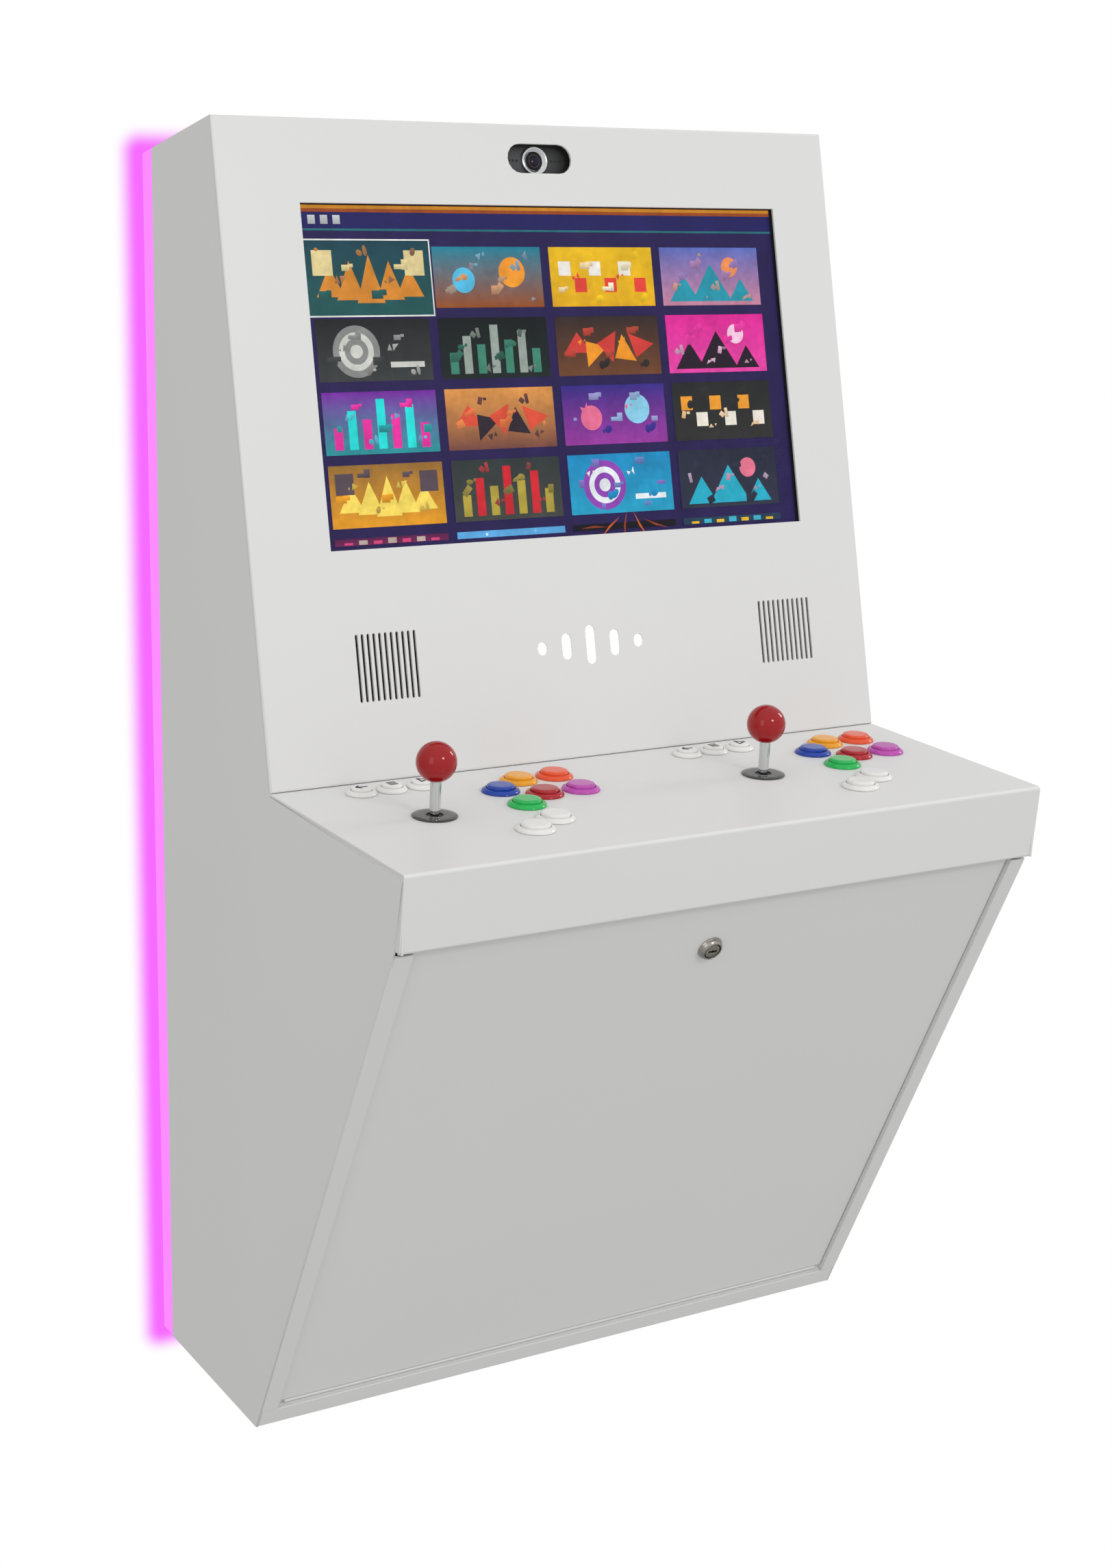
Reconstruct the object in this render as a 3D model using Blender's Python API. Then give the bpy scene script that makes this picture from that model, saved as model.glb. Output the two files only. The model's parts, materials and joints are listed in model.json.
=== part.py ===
"""Wall-hung two-player arcade cabinet in folded sheet steel.

Metres, +Z up, +X to the player's right, +Y into the wall. The origin lies on the wall bracket's
rear face, so the wall is the plane y = 0 and the cabinet stands out along -Y.
Three empties carry the sloping faces. Each has local X along the width, local Y up the face
and local Z straight out of it: bezel_plane, deck_plane and door_plane.
"""

import math

import bmesh
import bpy
from mathutils import Matrix, Vector

# ---- driving dimensions -------------------------------------------------------------------
WIDTH = 0.650
MOUNT_HEIGHT = 0.900  # the origin above the cabinet's lowest edge
WALL_GAP = 0.0225  # cabinet back to wall, filled by the light frame
SHEET = 0.002
FACE_SHEET = 0.0025  # bezel and control deck
GAP = 0.0003  # between pieces that touch
CLEAR = 0.0008  # between pieces that only pass near each other
BEND = 0.003  # outer radius of the sheet's folds

# Corners of the side profile as (distance from the wall, height above the lowest edge).
TOP_REAR = (WALL_GAP, 1.147)
TOP_FRONT = (0.1555, 1.172)
DECK_REAR = (0.264, 0.598)
DECK_FRONT = (0.509, 0.582)
LIP_FOOT = (0.4995, 0.5135)
DOOR_TOP = (0.493, 0.5135)
FOOT_FRONT = (0.217, 0.0)
FOOT_REAR = (WALL_GAP, 0.011)

# Bezel: places are (x, distance down from the top edge).
SCREEN = {"x": 0.006, "down": 0.2275, "width": 0.507, "height": 0.305}
CAMERA_SLOT = {"x": 0.0, "down": 0.0315, "width": 0.068, "height": 0.027}
CAMERA_RECESS = 0.0115
GRILLE_X = (-0.202, 0.230)
GRILLE_DOWN = 0.484
GRILLE_SLOTS = 11
GRILLE_PITCH = 0.0057
SLOT_LENGTH = 0.060
SLOT_WIDTH = 0.0026
EMBLEM_X = 0.009
EMBLEM_DOWN = 0.481
EMBLEM_PITCH = 0.026
EMBLEM_HEIGHTS = (0.012, 0.024, 0.036, 0.024, 0.012)
EMBLEM_BAR = 0.010

# Deck: places are (x from the joystick, distance in front of the bezel).
JOYSTICK_X = {"left": -0.2265, "right": 0.1115}
JOYSTICK_DOWN = 0.1125
BUTTONS = {
    "back": (-0.026, 0.028),
    "menu": (0.0035, 0.028),
    "start": (0.033, 0.028),
    "blue": (0.089, 0.0685),
    "yellow": (0.120, 0.046),
    "orange": (0.1575, 0.045),
    "green": (0.089, 0.1140),
    "red": (0.120, 0.0915),
    "magenta": (0.1575, 0.0905),
    "white_upper": (0.090, 0.1595),
    "white_lower": (0.0585, 0.1800),
}
SMALL_BUTTONS = ("back", "menu", "start")
LARGE = {"rim": 0.0172, "body": 0.0146, "bore": 0.0130, "cap": 0.0126, "height": 0.0068}
SMALL = {"rim": 0.0139, "body": 0.0116, "bore": 0.0096, "cap": 0.0092, "height": 0.0063}
RIM_HEIGHT = 0.0039
BUTTON_DEPTH = 0.019  # housing below the deck's top surface
CAP_DEPTH = 0.010

BALL_RADIUS = 0.0175
BALL_HEIGHT = 0.0473
SHAFT_RADIUS = 0.004
SLEEVE_RADIUS = 0.0052
PIVOT_DEPTH = 0.012
WASHER_RADIUS = 0.01925
WASHER_HOLE = 0.0070

# Door: places are measured up the door plane from the cabinet's lowest edge.
FRAME_SIDE = 0.017
FRAME_FOOT = 0.020
DOOR_RECESS = 0.004
DOOR_FLANGE = 0.012
HINGE_UP = 0.0232
HINGE_PIN = 0.0015
DOOR_START = 0.0252
LOCK_X = -0.005
LOCK_UP = 0.5285
LOCK_RING = 0.0118
LOCK_BODY = 0.0094
LOCK_PLUG = 0.0072
LOCK_DEPTH = 0.026
CAM_LENGTH = 0.0645
HEM = 0.033  # the deck lip's turned-in edge, which the lock's cam catches

DECK_WEDGE = 0.0045  # how far the side drops away from the deck at its front
HEM_UP = 0.586  # the hem's level on the door plane
HEM_NOTCH = 0.0035  # cut away at each end of the hem, clear of the sides
DECK_HOLE = 0.0095
PLATE_DEPTH = 0.0125
GLASS = 0.003
LIGHT_WALL = 0.012
VENT_ROWS = 6
VENT_TOP = 0.200
VENT_PITCH = 0.016
VENT_X = 0.16
VENT_LENGTH = 0.120
VENT_WIDTH = 0.0036
INLET_X = 0.225
INLET_Y = 0.060
INLET_BODY = (0.034, 0.026)

ROUND = 20  # sides of a turned piece
BUTTON_SIDES = 14

COLOURS = {
    "back": (0.86, 0.85, 0.83), "menu": (0.86, 0.85, 0.83), "start": (0.86, 0.85, 0.83),
    "blue": (0.01, 0.06, 0.42), "yellow": (0.85, 0.42, 0.02), "orange": (0.80, 0.13, 0.02),
    "green": (0.02, 0.52, 0.12), "red": (0.50, 0.01, 0.02), "magenta": (0.50, 0.08, 0.42),
    "white_upper": (0.86, 0.85, 0.83), "white_lower": (0.86, 0.85, 0.83),
}


# ---- materials ----------------------------------------------------------------------------
def material(name, colour, roughness=0.5, metallic=0.0):
    """A plain Principled material, made once for each name."""
    found = bpy.data.materials.get(name)
    if found:
        return found
    made = bpy.data.materials.new(name)
    made.use_nodes = True
    shader = made.node_tree.nodes["Principled BSDF"]
    shader.inputs["Base Color"].default_value = (*colour, 1.0)
    shader.inputs["Roughness"].default_value = roughness
    shader.inputs["Metallic"].default_value = metallic
    return made


def white_paint():
    return material("white_paint", (0.70, 0.70, 0.68), 0.45)


def zinc():
    return material("zinc_plate", (0.55, 0.56, 0.58), 0.35, 1.0)


def chrome():
    return material("chrome", (0.75, 0.75, 0.76), 0.10, 1.0)


def black_plastic():
    return material("black_plastic", (0.015, 0.015, 0.016), 0.40)


# ---- mesh building ------------------------------------------------------------------------
def finish(name, mesh_data, look, parent=None, smooth=False):
    """Turns a bmesh into an object whose faces point outwards."""
    bmesh.ops.remove_doubles(mesh_data, verts=mesh_data.verts, dist=1e-7)
    bmesh.ops.recalc_face_normals(mesh_data, faces=mesh_data.faces)
    mesh = bpy.data.meshes.new(name)
    mesh_data.to_mesh(mesh)
    mesh_data.free()
    if smooth:
        mesh.shade_smooth()
        mesh.set_sharp_from_angle(angle=math.radians(35))
    mesh.materials.append(look)
    made = bpy.data.objects.new(name, mesh)
    bpy.context.scene.collection.objects.link(made)
    made.parent = parent
    return made


def add_prism(mesh_data, outline, along, matrix=None):
    """Adds a closed outline, a list of points, extruded by the vector along."""
    verts = [mesh_data.verts.new(point) for point in outline]
    face = mesh_data.faces.new(verts)
    grown = bmesh.ops.extrude_face_region(mesh_data, geom=[face])["geom"]
    moved = [item for item in grown if isinstance(item, bmesh.types.BMVert)]
    bmesh.ops.translate(mesh_data, verts=moved, vec=along)
    if matrix:
        bmesh.ops.transform(mesh_data, matrix=matrix, verts=verts + moved)


def add_box(mesh_data, low, high):
    """Adds a box between two corners."""
    low, high = Vector(low), Vector(high)
    place = Matrix.Translation((low + high) / 2) @ Matrix.Diagonal((*(high - low), 1.0))
    bmesh.ops.create_cube(mesh_data, size=1.0, matrix=place)


def box(name, low, high, look, parent=None):
    mesh_data = bmesh.new()
    add_box(mesh_data, low, high)
    return finish(name, mesh_data, look, parent)


def add_turned(mesh_data, profile, sides, matrix=None):
    """Adds a solid turned about local Z from a closed loop of (radius, height) points."""
    rings = []
    for radius, height in profile:
        if radius == 0:
            rings.append([mesh_data.verts.new((0, 0, height))] * sides)
            continue
        turns = [2 * math.pi * step / sides for step in range(sides)]
        ring = [(radius * math.cos(a), radius * math.sin(a), height) for a in turns]
        rings.append([mesh_data.verts.new(point) for point in ring])
    for first, second in zip(rings, rings[1:] + rings[:1]):
        for step in range(sides):
            after = (step + 1) % sides
            corners = (first[step], first[after], second[after], second[step])
            corners = list(dict.fromkeys(corners))
            if len(corners) > 2:
                mesh_data.faces.new(corners)
    if matrix:
        points = list(dict.fromkeys(vert for ring in rings for vert in ring))
        bmesh.ops.transform(mesh_data, matrix=matrix, verts=points)


def turned(name, profile, look, parent=None, sides=ROUND):
    mesh_data = bmesh.new()
    add_turned(mesh_data, profile, sides)
    return finish(name, mesh_data, look, parent, smooth=True)


def arc(centre, radius, start, end, steps):
    """Points of an arc in a plane, with angles in degrees."""
    angles = [math.radians(start + (end - start) * step / steps) for step in range(steps + 1)]
    return [(centre[0] + radius * math.cos(a), centre[1] + radius * math.sin(a)) for a in angles]


def cut(target, name, mesh_data, parent=None):
    """Cuts the bmesh's shape out of target."""
    cutter = finish(name, mesh_data, white_paint(), parent)
    cutter.hide_render = True
    cutter.display_type = "WIRE"
    hole = target.modifiers.new(name, "BOOLEAN")
    hole.operation = "DIFFERENCE"
    hole.object = cutter


def join(target, name, mesh_data, parent=None):
    """Welds the bmesh's shape to target."""
    added = finish(name, mesh_data, white_paint(), parent)
    added.hide_render = True
    added.display_type = "WIRE"
    weld = target.modifiers.new(name, "BOOLEAN")
    weld.operation = "UNION"
    weld.object = added


# ---- side profile and folded sheet --------------------------------------------------------
def spot(corner):
    """A profile corner as a (y, z) vector in the world."""
    return Vector((-corner[0], corner[1] - MOUNT_HEIGHT))


def bent_sheet(path, thickness, radius=BEND, steps=4):
    """The closed outline of a folded sheet: path is one face of it, and the sheet lies to
    the left of the path. Each corner of the path becomes a bend of that radius."""
    path = [Vector(point) for point in path]
    face, back = [], []

    def left(direction):
        return Vector((-direction.y, direction.x))

    runs = [(b - a).normalized() for a, b in zip(path, path[1:])]
    face.append(path[0])
    back.append(path[0] + left(runs[0]) * thickness)
    for corner, before, after in zip(path[1:], runs, runs[1:]):
        turn = before.angle_signed(after)  # positive clockwise
        side = -1 if turn > 0 else 1
        length = radius * math.tan(abs(turn) / 2)
        centre = corner - before * length + left(before) * radius * side
        spoke = left(before) * -side
        for step in range(steps + 1):
            swing = Matrix.Rotation(side * abs(turn) * step / steps, 2)
            arm = swing @ spoke
            face.append(centre + arm * radius)
            back.append(centre + arm * (radius - side * thickness))
    face.append(path[-1])
    back.append(path[-1] + left(runs[-1]) * thickness)
    return face + back[::-1]


def inset(outline, amounts):
    """The outline with each edge moved to the left of its direction by its own amount."""
    lines = []
    for a, b, amount in zip(outline, outline[1:] + outline[:1], amounts):
        run = (b - a).normalized()
        lines.append((a + Vector((-run.y, run.x)) * amount, run))
    made = []
    for (a, run_a), (b, run_b) in zip(lines[-1:] + lines[:-1], lines):
        cross = run_a.x * run_b.y - run_a.y * run_b.x
        offset = b - a
        made.append(a + run_a * ((offset.x * run_b.y - offset.y * run_b.x) / cross))
    return made


def along_x(name, outline, start, end, look, smooth=False):
    """A (y, z) outline extruded from x = start to x = end."""
    mesh_data = bmesh.new()
    points = [(start, point.x, point.y) for point in outline]
    add_prism(mesh_data, points, (end - start, 0, 0))
    return finish(name, mesh_data, look, smooth=smooth)


def face_plane(name, lower, upper):
    """An empty whose X runs along the width, Y up the face and Z out of it."""
    low, run = spot(lower), spot(upper) - spot(lower)
    plane = bpy.data.objects.new(name, None)
    bpy.context.scene.collection.objects.link(plane)
    plane.location = (0, low.x, low.y)
    plane.rotation_euler = (math.atan2(run.y, run.x), 0, 0)
    return plane, run.length


def empty_at(name, place, parent):
    """An empty on a joint's axis."""
    made = bpy.data.objects.new(name, None)
    bpy.context.scene.collection.objects.link(made)
    made.parent = parent
    made.location = place
    return made


# ---- cabinet shell ------------------------------------------------------------------------
def side_panel(side, name):
    """A flat side whose lower front edge is folded in to frame the door."""
    corners = (TOP_REAR, TOP_FRONT, DECK_REAR, DECK_FRONT, DOOR_TOP, FOOT_FRONT, FOOT_REAR)
    outline = [spot(corner) for corner in corners]
    outline[3] -= Vector((0, DECK_WEDGE))
    behind_face = FACE_SHEET + GAP
    amounts = (0, behind_face, behind_face, behind_face + CLEAR, 0, 0, 0)
    outer, inner = side * WIDTH / 2, side * (WIDTH / 2 - SHEET)
    panel = along_x(name, inset(outline, amounts), outer, inner, white_paint())
    foot, top = spot(FOOT_FRONT), spot(DOOR_TOP)
    up = (top - foot).normalized()
    inward = Vector((up.y, -up.x))
    start, end = foot + up * (FRAME_FOOT + CLEAR), top - up * SHEET
    strip = (start, end, end + inward * SHEET, start + inward * SHEET)
    root, tip = side * (WIDTH / 2 - SHEET / 2), side * (WIDTH / 2 - FRAME_SIDE)
    fold = bmesh.new()
    add_prism(fold, [(root, p.x, p.y) for p in strip], (tip - root, 0, 0))
    join(panel, name + "_fold", fold)


def box_panels(bottom_plane):
    """Top, bottom and back, all between the two sides."""
    inside = WIDTH / 2 - SHEET - GAP
    top_run = (spot(TOP_FRONT) - spot(TOP_REAR)).normalized()
    top_path = (spot(TOP_REAR), spot(TOP_FRONT) - top_run * (FACE_SHEET + GAP))
    along_x("top_panel", bent_sheet(top_path, SHEET), -inside, inside, white_paint())

    up = (spot(DOOR_TOP) - spot(FOOT_FRONT)).normalized()
    bottom_path = (spot(FOOT_FRONT) + up * FRAME_FOOT, spot(FOOT_FRONT), spot(FOOT_REAR))
    bottom = along_x("bottom_panel", bent_sheet(bottom_path, SHEET), -inside, inside, white_paint())
    hole = bmesh.new()
    half_x, half_y = INLET_BODY[0] / 2 + GAP, INLET_BODY[1] / 2 + GAP
    add_box(hole, (INLET_X - half_x, INLET_Y - half_y, -0.02), (INLET_X + half_x, INLET_Y + half_y, 0.02))
    cut(bottom, "inlet_hole", hole, bottom_plane)

    low, high = spot(FOOT_REAR).y + 2 * SHEET, spot(TOP_REAR).y - 2 * SHEET
    back = box("rear_panel", (-inside, -WALL_GAP - SHEET, low), (inside, -WALL_GAP, high), white_paint())
    vents = bmesh.new()
    for row in range(VENT_ROWS):
        for side in (-1, 1):
            height = VENT_TOP - row * VENT_PITCH
            slot = stadium(VENT_LENGTH, VENT_WIDTH, 2)
            points = [(side * VENT_X + u, -WALL_GAP - 0.01, height + v) for u, v in slot]
            add_prism(vents, points, (0, 0.02, 0))
    cut(back, "vents", vents)


def light_frame():
    """The translucent ring that fills the gap to the wall and spreads the coloured light."""
    front, back = -WALL_GAP + GAP, -0.0005
    top_slope = (TOP_FRONT[1] - TOP_REAR[1]) / (TOP_FRONT[0] - TOP_REAR[0])
    foot_slope = (FOOT_REAR[1] - FOOT_FRONT[1]) / (FOOT_FRONT[0] - FOOT_REAR[0])
    top, foot = spot(TOP_REAR).y, spot(FOOT_REAR).y
    depth = back - front
    outline = [
        Vector((front, top)), Vector((front, foot)),
        Vector((back, foot + depth * foot_slope)), Vector((back, top - depth * top_slope)),
    ]
    glow = material("light_diffuser", (0.85, 0.30, 0.90), 0.35)
    ring = along_x("light_frame", outline, -WIDTH / 2, WIDTH / 2, glow)
    hollow = bmesh.new()
    half = WIDTH / 2 - LIGHT_WALL
    add_box(hollow, (-half, -0.05, foot + LIGHT_WALL), (half, 0.02, top - LIGHT_WALL - 0.004))
    cut(ring, "light_frame_hollow", hollow)


def hanging():
    """Two folded strips: the wall's bracket and the cleat on the cabinet's back that hooks over it."""
    bracket = [Vector(point) for point in ((0, -0.040), (0, 0.018), (-0.008, 0.028), (-0.008, 0.050))]
    along_x("wall_bracket", bent_sheet(bracket, FACE_SHEET), -0.200, 0.200, zinc())
    back = -WALL_GAP + GAP
    cleat = [Vector(point) for point in ((back, 0.085), (back, 0.060), (-0.0072, 0.050), (-0.0072, 0.031))]
    along_x("cabinet_cleat", bent_sheet(cleat, FACE_SHEET), -0.190, 0.190, zinc())


def front_bezel(plane, length):
    """The sloping face with its cut-outs."""
    half = WIDTH / 2
    bezel = box("front_bezel", (-half, 0.001, -FACE_SHEET), (half, length, 0), white_paint(), plane)
    openings = bmesh.new()
    x, y = SCREEN["x"], length - SCREEN["down"]
    across, up = SCREEN["width"] / 2, SCREEN["height"] / 2
    add_box(openings, (x - across, y - up, -0.01), (x + across, y + up, 0.01))
    camera = stadium(CAMERA_SLOT["width"], CAMERA_SLOT["height"], 8)
    add_slot(openings, camera, CAMERA_SLOT["x"], length - CAMERA_SLOT["down"])
    slot = [(v, u) for u, v in stadium(SLOT_LENGTH, SLOT_WIDTH, 3)]
    for centre in GRILLE_X:
        for step in range(GRILLE_SLOTS):
            offset = (step - (GRILLE_SLOTS - 1) / 2) * GRILLE_PITCH
            add_slot(openings, slot, centre + offset, length - GRILLE_DOWN)
    for step, height in enumerate(EMBLEM_HEIGHTS):
        bar = [(v, u) for u, v in stadium(height, EMBLEM_BAR, 5)]
        offset = (step - (len(EMBLEM_HEIGHTS) - 1) / 2) * EMBLEM_PITCH
        add_slot(openings, bar, EMBLEM_X + offset, length - EMBLEM_DOWN)
    cut(bezel, "bezel_openings", openings, plane)


def stadium(length, width, steps):
    """A slot's outline with round ends, along the first axis."""
    reach = (length - width) / 2
    return arc((reach, 0), width / 2, -90, 90, steps) + arc((-reach, 0), width / 2, 90, 270, steps)


def add_slot(mesh_data, outline, x, y):
    """Adds an outline as a prism through a face sheet."""
    add_prism(mesh_data, [(x + u, y + v, -0.01) for u, v in outline], (0, 0, 0.02))


# ---- behind the bezel ---------------------------------------------------------------------
def screen(plane, length):
    """Protective glass and the monitor behind it."""
    x, y = SCREEN["x"], length - SCREEN["down"]
    across, up = SCREEN["width"] / 2, SCREEN["height"] / 2
    front = -FACE_SHEET - GAP
    edge = 0.012
    low, high = (x - across - edge, y - up - edge), (x + across + edge, y + up + edge)
    glass = material("screen_glass", (0.02, 0.02, 0.03), 0.05)
    box("screen_glass", (*low, front - GLASS), (*high, front), glass, plane)
    front -= GLASS + GAP
    body = box("monitor", (*low, front - 0.018), (*high, front), black_plastic(), plane)
    bump = bmesh.new()
    add_box(bump, (x - 0.12, y - 0.07, front - 0.034), (x + 0.12, y + 0.07, front - 0.010))
    join(body, "monitor_bump", bump, plane)


def webcam(plane, length):
    """The camera module set back behind its slot, and the bright ring round its lens."""
    x, y = CAMERA_SLOT["x"], length - CAMERA_SLOT["down"]
    front = -CAMERA_RECESS
    low, high = (x - 0.040, y - 0.018, front - 0.018), (x + 0.040, y + 0.018, front - GAP)
    box("webcam", low, high, black_plastic(), plane)
    profile = [(0.0095, 0.0), (0.0140, 0.0), (0.0140, 0.0012), (0.0120, 0.0030), (0.0105, 0.0030), (0.0095, 0.0015)]
    ring = turned("webcam_ring", profile, chrome(), plane)
    ring.location = (x, y, front)


def speakers(plane, length):
    profile = [
        (0, -0.0030), (0.034, -0.0030), (0.034, -0.0060), (0.026, -0.020),
        (0.017, -0.022), (0.017, -0.034), (0, -0.034),
    ]
    for side, x in zip(("left", "right"), GRILLE_X):
        driver = turned("speaker_" + side, profile, black_plastic(), plane)
        driver.location = (x, length - GRILLE_DOWN, 0)


def emblem_lens(plane, length):
    """The lit pane behind the emblem's cut-outs."""
    y, front = length - EMBLEM_DOWN, -FACE_SHEET - GAP
    lens = material("emblem_lens", (0.92, 0.92, 0.90), 0.4)
    low, high = (EMBLEM_X - 0.070, y - 0.024, front - 0.003), (EMBLEM_X + 0.070, y + 0.024, front)
    box("emblem_lens", low, high, lens, plane)


def electronics():
    """Boxes on the inside of the back: computer, power supply and the controls' input board."""
    wall = -WALL_GAP - SHEET - GAP
    computer = box("computer", (-0.090, wall - 0.042, -0.58), (0.090, wall, -0.40), black_plastic())
    supply = box("power_supply", (-0.26, wall - 0.045, -0.80), (-0.15, wall, -0.60), black_plastic())
    for piece in (computer, supply):
        edge = piece.modifiers.new("edge", "BEVEL")
        edge.width, edge.segments = 0.004, 2
    green = material("circuit_board", (0.02, 0.16, 0.06), 0.45)
    board = box("input_board", (0.14, wall - 0.008, -0.56), (0.26, wall - 0.005, -0.46), green)
    sockets = bmesh.new()
    for x in (0.155, 0.185, 0.215):
        add_box(sockets, (x, wall - 0.017, -0.475), (x + 0.020, wall - 0.007, -0.464))
    add_box(sockets, (0.180, wall - 0.012, -0.530), (0.215, wall - 0.007, -0.500))
    for x in (0.146, 0.254):
        for z in (-0.553, -0.467):
            add_box(sockets, (x - 0.003, wall - 0.006, z - 0.003), (x + 0.003, wall, z + 0.003))
    join(board, "input_board_parts", sockets)


def power_inlet(plane):
    """The mains socket in the bottom."""
    half_x, half_y = INLET_BODY[0] / 2, INLET_BODY[1] / 2
    low, high = (INLET_X - half_x, INLET_Y - half_y), (INLET_X + half_x, INLET_Y + half_y)
    inlet = box("power_inlet", (*low, -0.026), (*high, 0.0015), black_plastic(), plane)
    flange = bmesh.new()
    add_box(flange, (low[0] - 0.004, low[1] - 0.004, GAP), (high[0] + 0.004, high[1] + 0.004, 0.0025))
    join(inlet, "inlet_flange", flange, plane)
    socket = bmesh.new()
    add_box(socket, (INLET_X - 0.012, INLET_Y - 0.008, -0.015), (INLET_X + 0.012, INLET_Y + 0.008, 0.01))
    cut(inlet, "inlet_socket", socket, plane)


# ---- control deck -------------------------------------------------------------------------
def deck_spots(side, length):
    """Each button's name and its place on one player's side of the deck plane."""
    return {
        name: (JOYSTICK_X[side] + x, length - down) for name, (x, down) in BUTTONS.items()
    }


def control_deck(plane, length, door_plane):
    """Deck, front lip and turned-in hem in one folded sheet, drilled for the controls."""
    back = (spot(DECK_REAR) - spot(DECK_FRONT)).normalized()
    up = (spot(DOOR_TOP) - spot(FOOT_FRONT)).normalized()
    hem = spot(LIP_FOOT) + Vector((-up.y, up.x)) * -HEM
    path = (spot(DECK_REAR) + back * 0.0018, spot(DECK_FRONT), spot(LIP_FOOT), hem)
    deck = along_x("control_deck", bent_sheet(path, FACE_SHEET), -WIDTH / 2, WIDTH / 2, white_paint())
    drill = bmesh.new()
    for side in JOYSTICK_X:
        holes = [(JOYSTICK_X[side], length - JOYSTICK_DOWN, DECK_HOLE)]
        for name, (x, y) in deck_spots(side, length).items():
            holes.append((x, y, size_of(name)["body"] + GAP))
        for x, y, radius in holes:
            place = Matrix.Translation((x, y, 0))
            add_turned(drill, [(0, -0.01), (radius, -0.01), (radius, 0.01), (0, 0.01)], BUTTON_SIDES, place)
    cut(deck, "deck_holes", drill, plane)
    notches = bmesh.new()
    reach = WIDTH / 2 - FRAME_SIDE - CLEAR
    for side in (-1, 1):
        ends = sorted((side * reach, side * WIDTH))
        add_box(notches, (ends[0], HEM_UP - HEM_NOTCH, -0.08), (ends[1], HEM_UP + HEM_NOTCH, 0.0012))
    cut(deck, "hem_notches", notches, door_plane)


def size_of(button):
    return SMALL if button in SMALL_BUTTONS else LARGE


def button_housings(side, plane, length):
    """One player's eleven button housings on the plate that carries them under the deck."""
    places = deck_spots(side, length)
    stick = JOYSTICK_X[side]
    top, bottom = -PLATE_DEPTH, -PLATE_DEPTH - SHEET
    low, high = (stick + 0.040, length - 0.202, bottom), (stick + 0.180, length - 0.010, top)
    housings = box("button_housings_" + side, low, high, black_plastic(), plane)
    arm, bodies, bores = bmesh.new(), bmesh.new(), bmesh.new()
    add_box(arm, (stick - 0.042, length - 0.046, bottom), (stick + 0.050, length - 0.010, top))
    for name, (x, y) in places.items():
        size, place = size_of(name), Matrix.Translation((x, y, 0))
        rim, body, bore = size["rim"], size["body"], size["bore"]
        outside = [
            (0, -BUTTON_DEPTH), (body, -BUTTON_DEPTH), (body, GAP), (rim, GAP),
            (rim - 0.0006, 0.0013), (bore + 0.0010, RIM_HEIGHT), (0, RIM_HEIGHT),
        ]
        add_turned(bodies, outside, BUTTON_SIDES, place)
        add_turned(bores, [(0, -0.03), (bore, -0.03), (bore, 0.01), (0, 0.01)], BUTTON_SIDES, place)
    join(housings, side + "_plate_arm", arm, plane)
    join(housings, side + "_button_bodies", bodies, plane)
    cut(housings, side + "_button_bores", bores, plane)


def button_caps(side, plane, length):
    """The eleven parts that a player presses."""
    for name, (x, y) in deck_spots(side, length).items():
        cap, height = size_of(name)["cap"], size_of(name)["height"]
        profile = [
            (0, -CAP_DEPTH), (cap, -CAP_DEPTH), (cap, height - 0.0010),
            (cap - 0.0004, height - 0.0003), (cap - 0.0014, height), (0, height),
        ]
        plastic = material("button_" + name, COLOURS[name], 0.25)
        piece = turned("cap_" + side + "_" + name, profile, plastic, plane, BUTTON_SIDES)
        piece.location = (x, y, 0)


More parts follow.
